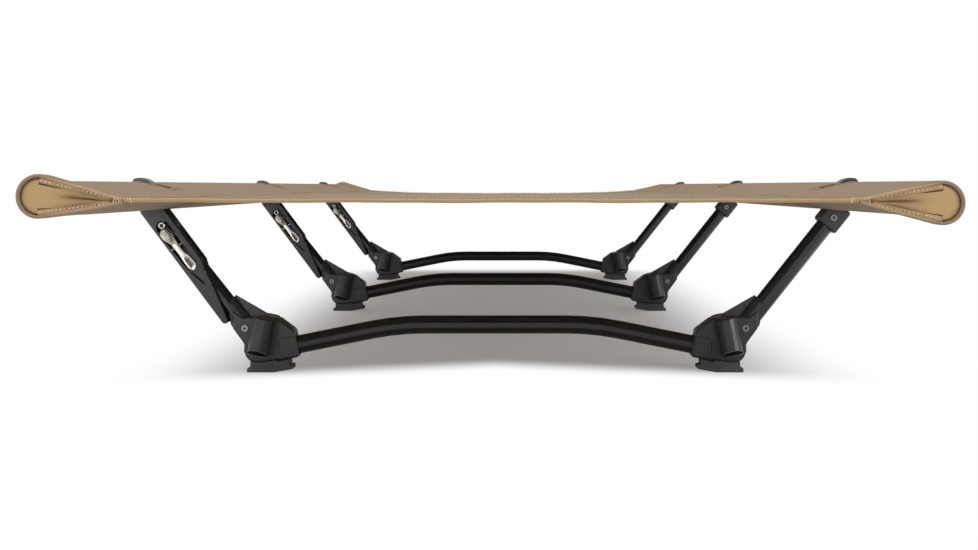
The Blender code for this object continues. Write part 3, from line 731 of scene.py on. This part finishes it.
@dataclass
class SleeveEnd:
    """One closed sleeve end: its rim, its pleated panel and the rows of stitches."""

    bed: Bed
    side: int
    end: int
    folds: tuple[float, ...] = (0.17, 0.33, 0.50, 0.64, 0.82)
    fold_depth: float = 0.0016
    fold_width: float = 0.028
    ridge_width: float = 0.045
    ridge_offset: float = 0.065
    bulge: float = 0.0016
    tuck: float = 0.0010
    pinch_shade: float = 0.46
    gap: float = 0.0026
    inset: float = 0.0022
    hidden_depth: float = 0.009
    thickness: float = 0.0007
    steps: int = 26

    @property
    def tag(self) -> str:
        """Part of the pieces' names."""
        return f"{SIDE_NAMES[self.side]}_{END_NAMES[self.end]}"

    @property
    def section(self) -> Section:
        """The cross-section at the sleeve's mouth."""
        return self.bed.section(self.bed.half_length, self.side)

    def at(self, point: Point, outward: float) -> Vector:
        """A point of the cross-section, moved outward along the cot from the cloth's edge."""
        return Vector((self.side * point[0], self.end * (self.bed.half_length + outward), point[1]))

    def strip(self, line: Sequence[Point], outward: float, ribbon: Ribbon) -> Object:
        """A ribbon along a line of the cross-section, with its depth along the cot."""
        path = [self.at(p, outward) for p in line]
        out = Vector((0.0, self.end, 0.0))
        across = [along.cross(out).normalized() for along in headings(path)]
        return ribbon.build(path, across, [out] * len(path))

    def rim(self) -> Object:
        """The folded hem round the sleeve's mouth, from the pinch round the loop and back."""
        strip = self.strip(self.section.teardrop(inset=0.0009), -self.inset,
                           Ribbon(f"sleeve_rim_{self.tag}", width=0.0021, depth=0.0056, finish=RIM))
        # Painted shade: the rim is painted darker towards its outer side, round the loop.
        shade = strip.data.attributes.new("crease", "FLOAT", "POINT")
        for vert, value in zip(strip.data.vertices, shade.data):
            inward = smooth((self.section.centre_x - abs(vert.co.x)) / 0.020)
            value.value = max(0.0, 0.50 * (1 - inward) - 0.1)
        return strip

    def relief(self, fan: float, reach: float) -> tuple[float, float]:
        """Height and darkness of the panel's pleats.

        Args:
            fan: 0 at the upper edge to 1 at the lower one.
            reach: 0 at the pinch to 1 at the loop.

        Returns:
            How far the fabric stands out, and how dark it is painted: painted shade in its creases and
            towards the pinch.
        """
        run = smooth(reach / 0.10) * (1 - smooth((reach - 0.48) / 0.44))
        height, crease = 0.0, 0.0
        for i, place in enumerate(self.folds):
            wander = 0.02 * math.sin(7 * reach + i)
            near = math.exp(-((fan - place - wander) / self.fold_width) ** 2)
            ridge = math.exp(-((fan - place + self.ridge_offset) / self.ridge_width) ** 2)
            share = run if i % 2 else run * (1 - smooth((reach - 0.36) / 0.35))
            height += (ridge - 1.2 * near) * share
            crease = max(crease, near * share)
        edge = smooth((MIDWAY - abs(fan - MIDWAY)) / 0.05) * smooth((1 - reach) / 0.06)
        round_out = math.sin(math.pi * min(1.0, max(0.0, fan))) * smooth(reach / 0.5)
        # Painted shade: darker in the creases and towards the pinch.
        shade = max(crease * 0.9, self.pinch_shade * (1 - smooth((reach - 0.26) / 0.55)))
        return (self.fold_depth * height + self.bulge * round_out) * edge - self.tuck * (1 - edge), shade

    def panel(self) -> Object:
        """The panel that closes the sleeve, gathered into pleats at the pinch."""
        section = self.section
        drop = section.teardrop(inset=self.gap, straight=18, turns=30)
        apex = (section.pinch_x + 0.0045, (section.upper + section.lower) / 2)
        rows, creases = [], []
        for k, point in enumerate(drop):
            row, darks = [], []
            for t in range(self.steps + 1):
                reach = 0.02 + 0.98 * t / self.steps
                place = (apex[0] + (point[0] - apex[0]) * reach, apex[1] + (point[1] - apex[1]) * reach)
                height, crease = self.relief(k / (len(drop) - 1), reach)
                row.append(self.at(place, -self.inset + height))
                darks.append(crease)
            rows.append([*row, self.at(point, -self.hidden_depth)])
            creases.append([*darks, 1.0])
        panel = loft(f"end_panel_{self.tag}", rows, PANEL.build(), creases=creases,
                     uv=lambda row, column: (rows[row][column].x, rows[row][column].z))
        return finish_piece(thicken(panel, self.thickness))

    def flaps(self) -> list[Object]:
        """The stitched folds along the panel's two straight edges, and beside each a dark strip of painted
        shadow for the crease.
        """
        made = []
        for kind, inset, back, width, depth, finish in (("flap", 0.0012, 0.0007, 0.0040, 0.0013, RIM),
                                                        ("crease", 0.0038, 0.0009, 0.0017, 0.0012, FOLD_SHADOW)):
            drop = self.section.teardrop(inset=self.gap + inset)
            for where, line in (("upper", drop[2:16]), ("lower", drop[-3:-17:-1])):
                ribbon = Ribbon(f"end_{kind}_{where}_{self.tag}", width, depth, finish)
                made.append(self.strip(line, -back, ribbon))
        return made

    def seam_lines(self) -> list[list[Vector]]:
        """Where the rows of stitches run along the panel's two straight edges."""
        drop = self.section.teardrop(inset=self.gap + 0.0014)
        return [[self.at(p, 0.0001) for p in line] for line in (drop[3:15], drop[-4:-16:-1])]


@dataclass
class Stitches:
    """Rows of stitches in one thread, made by a Geometry Nodes tree of their own."""

    material: Material
    group: bpy.types.GeometryNodeTree = field(init=False)

    def __post_init__(self) -> None:
        """Build the tree that turns lines into rows of stitches, with its named inputs."""
        self.group = bpy.data.node_groups.new("stitch_rows", "GeometryNodeTree")
        face = self.group.interface
        inputs = {"Geometry": "Geometry", "Spacing": "Float", "Stitch Length": "Float",
                  "Thread Radius": "Float", "Seed": "Int"}
        for name, kind in inputs.items():
            face.new_socket(name, in_out="INPUT", socket_type=f"NodeSocket{kind}")
        face.new_socket("Geometry", in_out="OUTPUT", socket_type="NodeSocketGeometry")
        tree = Tree(self.group)
        lines, spacing, length, radius, seed = tree.several("NodeGroupInput", inputs)
        curve = tree.node("GeometryNodeMeshToCurve", None, [lines])
        places = tree.node("GeometryNodeResampleCurve", {"mode": "LENGTH"},
                           {"Curve": curve, "Length": spacing})
        ball = tree.node("GeometryNodeMeshUVSphere", None, {"Segments": 6, "Rings": 4, "Radius": 1.0},
                         "Mesh")
        size = tree.node("ShaderNodeCombineXYZ", None, [length, radius, radius])
        shaped = tree.node("GeometryNodeTransform", None, {"Geometry": ball, "Scale": size})
        along = tree.node("GeometryNodeInputTangent")
        turn = tree.node("FunctionNodeAlignRotationToVector", {"axis": "X"}, {"Vector": along})
        uneven = tree.node("FunctionNodeRandomValue", {"data_type": "FLOAT"},
                           {2: 0.82, 3: 1.12, "Seed": seed}, 1)
        placed = tree.node("GeometryNodeInstanceOnPoints", None,
                           {"Points": places, "Instance": shaped, "Rotation": turn, "Scale": uneven})
        real = tree.node("GeometryNodeRealizeInstances", None, [placed])
        painted = tree.node("GeometryNodeSetMaterial", None, {"Geometry": real, "Material": self.material})
        tree.links.new(painted.socket, tree.nodes.new("NodeGroupOutput").inputs[0])

    def rows(self, name: str, lines: Sequence[Sequence[Vector]], spacing: float, length: float,
             radius: float, seed: int) -> Object:
        """Sew along some lines.

        Args:
            name: The piece's name.
            lines: The lines, each a list of points.
            spacing: From one stitch to the next.
            length: Half of a stitch's length.
            radius: The thread's radius.
            seed: Seed of the stitches' unevenness.

        Returns:
            The rows of stitches as one piece.
        """
        points, edges = [], []
        for line in lines:
            edges += [(len(points) + i, len(points) + i + 1) for i in range(len(line) - 1)]
            points += [tuple(p) for p in line]
        mesh = bpy.data.meshes.new(name)
        mesh.from_pydata(points, edges, [])
        sewn = linked(name, mesh)
        modifier = sewn.modifiers.new("stitches", "NODES")
        modifier.node_group = self.group
        values = {"Spacing": spacing, "Stitch Length": length, "Thread Radius": radius, "Seed": seed}
        for item in self.group.interface.items_tree:
            if item.name in values:
                modifier[item.identifier] = values[item.name]
        settle(sewn)
        sewn.data.shade_smooth()
        return finish_piece(sewn)


@dataclass
class Trim:
    """Hems, window bindings, bar tacks and seams of the sling."""

    bed: Bed
    thread: Material
    hem_steps: int = 90

    def hem(self, end: int) -> Object:
        """The folded hem across one end of the bed."""
        reach = self.bed.section(0.0).pinch_x - 0.002
        y = end * (self.bed.half_length - 0.0056)
        path = []
        for i in range(self.hem_steps + 1):
            x = reach * (2 * i / self.hem_steps - 1)
            wave = 0.00018 * math.sin(47 * x) + 0.00012 * math.sin(113 * x + 1)
            path.append(Vector((x, y, self.bed.section(y).bed_z + self.bed.sag(x, y) + wave)))
        ribbon = Ribbon(f"end_hem_{END_NAMES[end]}", width=0.0118, depth=0.0028, finish=BINDING)
        across, out = Vector((0.0, 1.0, 0.0)), Vector((0.0, 0.0, 1.0))
        return ribbon.build(path, [across] * len(path), [out] * len(path))

    def binding(self, side: int, place: float, name: str) -> Object:
        """The bound edge of one window, on the bed side of the sleeve."""
        bed = self.bed
        inner, half, bend, step = bed.window_inner, bed.window_half, 0.0025, 0.001
        flat = stepped((bed.window_outer - 0.0035, -half), (inner + bend, -half), 9)
        flat += [(inner + bend - bend * math.sin(a), -half + bend - bend * math.cos(a))
                 for a in (math.pi / 2 * i / 4 for i in range(5))]
        flat += stepped((inner, -half + bend), (inner, half - bend), 5)[1:]
        flat += [(x, -y) for x, y in reversed(flat[:14])]
        path = [Vector(bed.top(side * x, place + y)) for x, y in flat]
        across, out = [], []
        for point, along in zip(path, headings(path)):
            rise = bed.top(point.x + step, point.y)[2] - bed.top(point.x - step, point.y)[2]
            normal = Vector((-rise / (2 * step), 0.0, 1.0)).normalized()
            across.append(along.cross(normal).normalized())
            out.append(across[-1].cross(along).normalized())
        tag = f"{SIDE_NAMES[side]}_{name}"
        # Its finish is painted shade, darker than the hem binding.
        ribbon = Ribbon(f"window_binding_{tag}", width=0.0034, depth=0.0015, finish=WINDOW_SHADE)
        return ribbon.build(path, across, out)

    def tack(self, side: int, end: int) -> Object:
        """The zigzag bar tack that closes a sleeve's pinch."""
        section = self.bed.section(self.bed.half_length)
        y = end * (self.bed.half_length + 0.0004)
        line = [Vector((side * (section.pinch_x - 0.0075 + 0.0011 * i), y,
                        section.bed_z + (0.0017 if i % 2 else -0.0017))) for i in range(13)]
        name = f"bar_tack_{SIDE_NAMES[side]}_{END_NAMES[end]}"
        return finish_piece(round_strand(name, line, 0.0005, 1, False, self.thread))

    def seams(self) -> list[Object]:
        """Stitch rows along both sleeves, across both hems and round the windows."""
        bed = self.bed
        pinch = bed.section(0.0).pinch_x
        long_rows = [[Vector(bed.top(side * x, y / 100, 0.0002)) for y in range(-94, 95)]
                     for side in SIDES for x in (pinch - 0.0015, pinch - 0.0045)]
        hem_rows = [[Vector(bed.top(x / 100, end * (bed.half_length - 0.0095), 0.0014))
                     for x in range(-26, 27)] for end in SIDES]
        window_rows = []
        for side in SIDES:
            for place in SETS.values():
                x, outer = side * (bed.window_inner - 0.0042), side * 0.3235
                y = bed.window_half + 0.0042
                corners = [(outer, place - y), (x, place - y), (x, place + y), (outer, place + y)]
                line = [p for a, b in zip(corners, corners[1:]) for p in stepped(a, b, 12)] + corners[-1:]
                window_rows.append([Vector(bed.top(px, py, 0.0002)) for px, py in line])
        sew = Stitches(SEAM.build()).rows
        return [sew("sleeve_seams", long_rows, spacing=0.0040, length=0.0014, radius=0.00032, seed=5),
                sew("hem_seams", hem_rows, spacing=0.0034, length=0.0012, radius=0.00032, seed=7),
                sew("window_seams", window_rows, spacing=0.0030, length=0.0011, radius=0.00030, seed=9)]

    def build(self) -> list[Object]:
        """Make every trim piece."""
        pieces = [self.hem(end) for end in SIDES]
        for side in SIDES:
            pieces += [self.binding(side, place, name) for name, place in SETS.items()]
            pieces += [self.tack(side, end) for end in SIDES]
        return pieces + self.seams()


@dataclass(frozen=True)
class Latch:
    """The bright pressed-steel latch in a lever, in its own axes about its pin, in metres.

    x runs across the lever to its outer side, y out of its face and z up the lever.
    """

    name: str
    place: float
    pin: Triple = (-0.292208, -0.0112, 0.114906)
    across: Triple = (-0.800731, 0.0, -0.599024)
    top: float = 20.8
    length: float = 46.2
    ribs: int = 6
    steps: int = 96
    cells: int = 12
    wall: float = 0.0011
    shift: float = -1.8
    stretch: float = 1.05
    ring: Triple = (2.7, 23.4, 2.3)
    ring_thickness: float = 0.8
    ring_steps: tuple[int, int] = (24, 10)

    def world(self, x: float, y: float, z: float) -> Vector:
        """A point in the cot's frame, from millimetres in the latch's axes."""
        across = Vector(self.across)
        up = Vector((across.z, 0.0, -across.x))
        origin = Vector(self.pin) + Vector((0.0, self.place, 0.0))
        return origin + across * (x / 1000) + Vector((0.0, -y / 1000, 0.0)) + up * (z / 1000)

    def width(self, z: float) -> Point:
        """Middle and half width of the strip at a height, in millimetres."""
        marks = ((20.8, 0.6, 2.2), (19.4, 0.8, 4.3), (17.2, 0.9, 5.5), (14.2, 1.0, 5.8), (11.2, 1.1, 5.2),
                 (8.2, 1.2, 4.0), (5.0, 1.1, 3.1), (0.0, 1.0, 2.8), (-6.0, 0.8, 2.8), (-12.0, 0.5, 3.3),
                 (-17.5, 0.2, 3.8), (-21.5, 0.1, 3.8), (-23.6, 0.2, 3.1), (-24.8, 0.4, 1.9),
                 (-25.4, 0.6, 0.6))
        for (top, *above), (low, *below) in zip(marks, marks[1:]):
            if z >= low:
                share = (top - z) / (top - low)
                return tuple(a + (b - a) * share for a, b in zip(above, below))
        return marks[-1][1:]

    def face(self, z: float, share: float) -> Point:
        """Height and darkness of the face at a height and a share across.

        Args:
            z: Height above the pin, in millimetres.
            share: -1 at the inner edge to 1 at the outer one.

        Returns:
            The face's height over the pin, in millimetres, and how dark it is painted: painted reflection on
            the pad's inner half and painted shade in the bowl's hollow and between the ribs.
        """
        pad = smooth((z - 4.0) / 5.0) * (1 - smooth((z - 19.0) / 3.0))
        bowl = smooth((-9.0 - z) / 6.0) * (1 - smooth((-21.0 - z) / 3.4))
        rib = 0.5 + 0.5 * math.cos(math.tau * (z - 8.0) / 12.5 * self.ribs)
        dome = 1 - share * share
        hollow = max(0.0, 1 - ((share + 0.25) / 0.72) ** 2)
        height = 1.9 + 2.3 * math.sin(math.pi * min(1.0, max(0.0, (z - 3.0) / 19.0)))
        height += pad * (1.1 * dome + 0.34 * rib * (1 - abs(share) ** 3))
        height += (1 - pad) * (0.45 * dome) * (1 - bowl) - bowl * hollow + 0.7 * bowl
        # Painted reflection and shade: the pad's inner half is darkened as if it reflected dark
        # surroundings, and the bowl's hollow and the grooves between the ribs as if in shade.
        inner = smooth((0.15 + 0.55 * (rib - 0.5) - share) / 0.35)
        dark = pad * inner * (0.92 - 0.45 * rib) + bowl * hollow * 0.85 * smooth((0.45 - share) / 0.5)
        groove = pad * 0.95 * (1 - rib) ** 1.5 * smooth((0.8 - share) / 0.3)
        return height, max(dark, groove)

    def build(self) -> None:
        """Loft the strip, add the eyelet and stand in for the plain solid."""
        rows, creases = [], []
        for i in range(self.steps + 1):
            z = self.top - self.length * i / self.steps
            middle, half = self.width(z)
            high = z * self.stretch if z < 0 else z
            shares = [2 * k / self.cells - 1 for k in range(self.cells + 1)]
            faces = [self.face(z, share) for share in shares]
            rows.append([self.world(self.shift + middle + half * share, height, high)
                         for share, (height, _) in zip(shares, faces)])
            creases.append([dark for _, dark in faces])
        metal = LATCH.build()
        plate = loft(f"latch_plate_{self.name}", rows, metal, creases=creases)
        thicken(plate, self.wall, -1.0 if plate.data.polygons[0].normal.y < 0 else 1.0)
        body = f"latch_{self.name}"
        finish_piece(plate, body, body)
        finish_piece(self.eyelet(metal), body)

    def eyelet(self, metal: Material) -> Object:
        """The small ring at the latch's upper end."""
        depth, height, radius = self.ring
        around, about = self.ring_steps
        rows = []
        for turn in (math.tau * i / around for i in range(around)):
            row = []
            for twist in (math.tau * k / about for k in range(about)):
                reach = radius + self.ring_thickness * math.cos(twist)
                row.append(self.world(self.shift + reach * math.cos(turn),
                                      depth + self.ring_thickness * math.sin(twist),
                                      height + reach * math.sin(turn)))
            rows.append(row)
        return loft(f"latch_eyelet_{self.name}", rows, metal, ring=True, joined=True)


@dataclass
class Relief:
    """Shallow lines on the levers and the leg sockets, too fine for the plain solids, made as thin plates
    and strands painted dark for painted shade or light for a painted highlight.
    """

    slope: float = math.radians(11.3)
    mouth: Triple = (0.2167, 0.0185, 0.0170)
    radius: float = 0.0094
    reach: float = math.radians(78)
    turns: int = 18
    skin: Point = (0.00015, -0.0004)
    low: float = 0.0002

    def plate(self, name: str, latch: Latch, outline: Sequence[Point], heights: Point,
              finish: HardFinish) -> None:
        """A thin raised shape on a lever's face, dark for painted shade or light for a painted highlight by
        its finish.

        Args:
            name: The piece's name.
            latch: The latch whose axes it is drawn in.
            outline: Its corners across and up the lever, in millimetres.
            heights: Its back and its face over the pin, in millimetres.
            finish: Its finish.
        """
        rows = [[latch.world(x, height, z) for x, z in outline] for height in heights]
        made = loft(f"{name}_{latch.name}", rows, finish.build(), ring=True)
        made.data.shade_flat()
        finish_piece(made, f"lever_{latch.name}")

    def around(self, side: int, face: int, place: float, turn: float, lift: float, out: float) -> Vector:
        """A point over a leg socket's wall, by turn from its front, height and distance."""
        axis = Vector((-side * math.sin(self.slope), 0.0, math.cos(self.slope)))
        front = Vector((0.0, face, 0.0))
        centre = Vector((side * self.mouth[0], place + face * self.mouth[1], self.mouth[2]))
        spoke = front * math.cos(turn) + front.cross(axis) * math.sin(turn)
        return centre + spoke * (self.radius + out) + axis * lift

    def socket(self, side: int, face: int, place: float, name: str) -> None:
        """The rolled lip round a leg socket's mouth, light for a painted highlight, and a dark sheet of
        painted shade for its bore behind it.
        """
        lip, edge, rows = [], [], []
        outer, inner = self.skin
        for i in range(self.turns + 1):
            turn = self.reach * (2 * i / self.turns - 1)
            high = 0.0004 + 0.0042 * math.cos(turn)
            lip.append(self.around(side, face, place, turn, high, 0.0))
            edge.append(self.around(side, face, place, turn, self.low, 0.0))
            rows.append([self.around(side, face, place, turn, lift, out) for lift, out in
                         ((self.low, outer), (high, outer), (high, inner), (self.low, inner))])
        tag = f"{SIDE_NAMES[side]}_{name}_{END_NAMES[face]}"
        # Painted shade: a near-black sheet where the inside of the bore lies in shade.
        bore = loft(f"socket_bore_shade_{tag}", rows, SHADE.build(), ring=True)
        bore.data.shade_flat()
        finish_piece(bore)
        for part, line, thick in (("lip", lip, 0.00055), ("edge", edge, 0.0004)):
            strand = round_strand(f"socket_{part}_{tag}", line, thick, 2, True, LIP_HIGHLIGHT.build())
            strand.data.shade_smooth()
            finish_piece(strand)

    def build(self) -> None:
        """Make every line."""
        crease = ((3.6, -25.8), (2.0, -27.4), (-1.2, -39.8), (-1.7, -42.6), (-0.9, -43.0), (0.2, -41.0))
        ridge = ((-6.8, 11.5), (-7.5, 11.5), (-8.5, -35.2), (-7.9, -35.6))
        recess = ((-5.6, 9.0), (-6.8, 11.0), (-7.9, -33.0), (-7.3, -33.6))
        for name, place in SETS.items():
            latch = Latch(name, place)
            # Painted shade in the lever's crease and recess, and a painted highlight along its ridge.
            self.plate("lever_crease", latch, crease, (0.7, 0.95), SHADE)
            self.plate("lever_ridge", latch, ridge, (0.7, 1.25), LIP_HIGHLIGHT)
            self.plate("lever_recess", latch, recess, (0.7, 0.92), SHADE)
            for side in SIDES:
                for face in SIDES:
                    self.socket(side, face, place, name)


@dataclass(frozen=True)
class FrameDress:
    """Finishes of the carried CAD nodes."""

    def dress(self) -> None:
        """Give every CAD node that shows its material, by the first start of its name that fits."""
        kinds = {
            "crossbar": TUBE, "arm_tube": TUBE, "link_tube": TUBE, "pole_plug": MOULDING, "pole_": TUBE,
            "hub_rivet": RIVET, "clip_rivet": RIVET, "hub_": MOULDING, "clip_": MOULDING, "foot_": RUBBER,
            "lever_pin": STEEL, "latch_pin": RIVET, "latch": STEEL, "lever_": LEVER,
        }
        built: dict[str, Material] = {}
        for name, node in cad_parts.items():
            finish = next((kinds[start] for start in kinds if name.startswith(start)), None)
            if finish:
                if finish.name not in built:
                    built[finish.name] = finish.build()
                node.data.materials.clear()
                node.data.materials.append(built[finish.name])


@dataclass
class Studio:
    """White floor, soft light and the photograph's camera."""

    lens: float = 53.0
    camera_at: Triple = (0.0122, -1.980, 0.17085)
    shift: Point = (-0.0200, -0.0910)
    shadow_half_width: Point = (0.18, 0.36)
    shadow_front: Point = (0.545, 0.650)
    shadow_front_slant: float = 0.35
    shadow_rear: Point = (0.85, 1.05)
    whiten: float = 0.2
    floor_size: float = 30.0
    surround: float = 0.62
    aim: Triple = (0.0, -0.2, 0.1)

    def build(self) -> None:
        """Make the camera, the floor, the world and the lamps."""
        data = bpy.data.cameras.new("photo_camera")
        data.lens = self.lens
        data.sensor_width = 36.0
        data.shift_x, data.shift_y = self.shift
        camera = linked("photo_camera", data)
        camera.location = self.camera_at
        camera.rotation_euler = (math.pi / 2, 0.0, 0.0)
        bpy.context.scene.camera = camera
        self.floor()
        self.world()
        self.lamp("key", (-1.2, -1.6, 2.6), (2.2, 2.2), 42.0)
        self.lamp("fill", (1.8, -2.2, 1.5), (1.8, 1.8), 16.0)
        self.lamp("top", (0.0, 0.3, 3.0), (3.0, 3.0), 46.0)
        self.lamp("strip_left", (-1.0, -2.25, 0.5), (0.12, 1.0), 9.0, soft=False)
        self.lamp("strip_right", (1.3, -1.4, 0.5), (0.12, 1.0), 9.0, soft=False)
        bpy.context.scene.view_settings.view_transform = "Standard"

    def floor(self) -> None:
        """A white floor that keeps the cot's soft shadow."""
        size = self.floor_size
        corners = [(-size, -size, 0), (size, -size, 0), (size, size, 0), (-size, size, 0)]
        s = Shader("white_floor")
        s.feed("Base Color", (0.86, 0.86, 0.86, 1.0))
        s.feed("Roughness", 0.9)
        s.feed("Specular IOR Level", 0.1)
        glow = s.node("ShaderNodeEmission", None, {"Color": (1, 1, 1, 1), "Strength": 1.0})
        camera = s.node("ShaderNodeLightPath", output="Is Camera Ray")
        x, y, _ = s.split(s.place())
        # Painted light: outside a box under the cot the floor glows white for the camera, wiping out the
        # cast shadow; inside it the real shadow stays, lifted by the whiten glow.
        across = s.fade(x.absolute(), *self.shadow_half_width)
        front = s.fade(-1.0 * y - x.absolute() * self.shadow_front_slant, *self.shadow_front)
        rear = s.fade(y, *self.shadow_rear)
        white = 1.0 - across * front * rear
        share = camera * (self.whiten + (1.0 - self.whiten) * white)
        mixed = s.node("ShaderNodeMixShader", None, [share, Sock(s, s.principled.outputs[0]), glow])
        s.links.new(mixed.socket, s.nodes["Material Output"].inputs[0])
        mesh = bpy.data.meshes.new("studio_floor")
        mesh.from_pydata(corners, [], [range(4)])
        mesh.materials.append(s.material)
        linked("studio_floor", mesh)

    def world(self) -> None:
        """A soft pale surround, white where the camera sees it."""
        world = bpy.data.worlds.new("studio_world")
        world.use_nodes = True
        tree = Tree(world.node_tree)
        rays = tree.several("ShaderNodeLightPath", ("Is Camera Ray", "Is Transmission Ray"))
        seen = tree.node("ShaderNodeMath", {"operation": "MAXIMUM"}, rays)
        strength = tree.node("ShaderNodeMapRange", None,
                             {"Value": seen, "To Min": self.surround, "To Max": 1.0})
        backdrop = tree.nodes["Background"].inputs
        backdrop["Color"].default_value = (1.0, 1.0, 1.0, 1.0)
        tree.links.new(strength.socket, backdrop["Strength"])
        bpy.context.scene.world = world

    def lamp(self, name: str, place: Triple, size: Point, power: float, soft: bool = True) -> None:
        """A rectangular lamp that faces the cot.

        Args:
            name: The lamp's name.
            place: Where it hangs.
            size: Its width and height.
            power: Its power in watts.
            soft: Whether it lights surfaces and not only their highlights.
        """
        data = bpy.data.lights.new(name, "AREA")
        data.shape = "RECTANGLE"
        data.size, data.size_y = size
        data.energy = power
        lamp = linked(name, data)
        lamp.visible_diffuse = soft
        lamp.location = place
        lamp.rotation_euler = (Vector(self.aim) - Vector(place)).to_track_quat("-Z", "Y").to_euler()


@dataclass
class Sling:
    """The whole sling: cloth, closed sleeve ends, trim and stitching."""

    bed: Bed = field(default_factory=Bed)

    def build(self) -> None:
        cloth = Cloth(self.bed).build()
        thread = THREAD.build()
        stitches = Stitches(thread)
        pieces: list[Object] = []
        ends = [SleeveEnd(self.bed, side, end) for side in SIDES for end in SIDES]
        for sleeve_end in ends:
            pieces += [sleeve_end.rim(), sleeve_end.panel(), *sleeve_end.flaps()]
        lines = [line for sleeve_end in ends for line in sleeve_end.seam_lines()]
        pieces.append(stitches.rows("panel_seams", lines, spacing=0.0030, length=0.0010, radius=0.00048,
                                    seed=11))
        moved = [[line[0].lerp(line[1], 0.4), *line[1:]] for line in lines]
        # Painted shade: rows of dark dots beside the stitches stand for the shade in the needle holes.
        holes = Stitches(NEEDLE_HOLE_SHADE.build())
        pieces.append(holes.rows("panel_needle_holes", moved, spacing=0.0030, length=0.0005, radius=0.00042,
                                 seed=13))
        pieces += Trim(self.bed, thread).build()
        self.bed.flat_width()


def main() -> None:
    """Build every piece in order."""
    logging.basicConfig(level=logging.INFO)
    Studio().build()
    FrameDress().dress()
    for name, place in SETS.items():
        Latch(name, place).build()
    Relief().build()
    Sling().build()


if __name__ == "__main__":
    main()
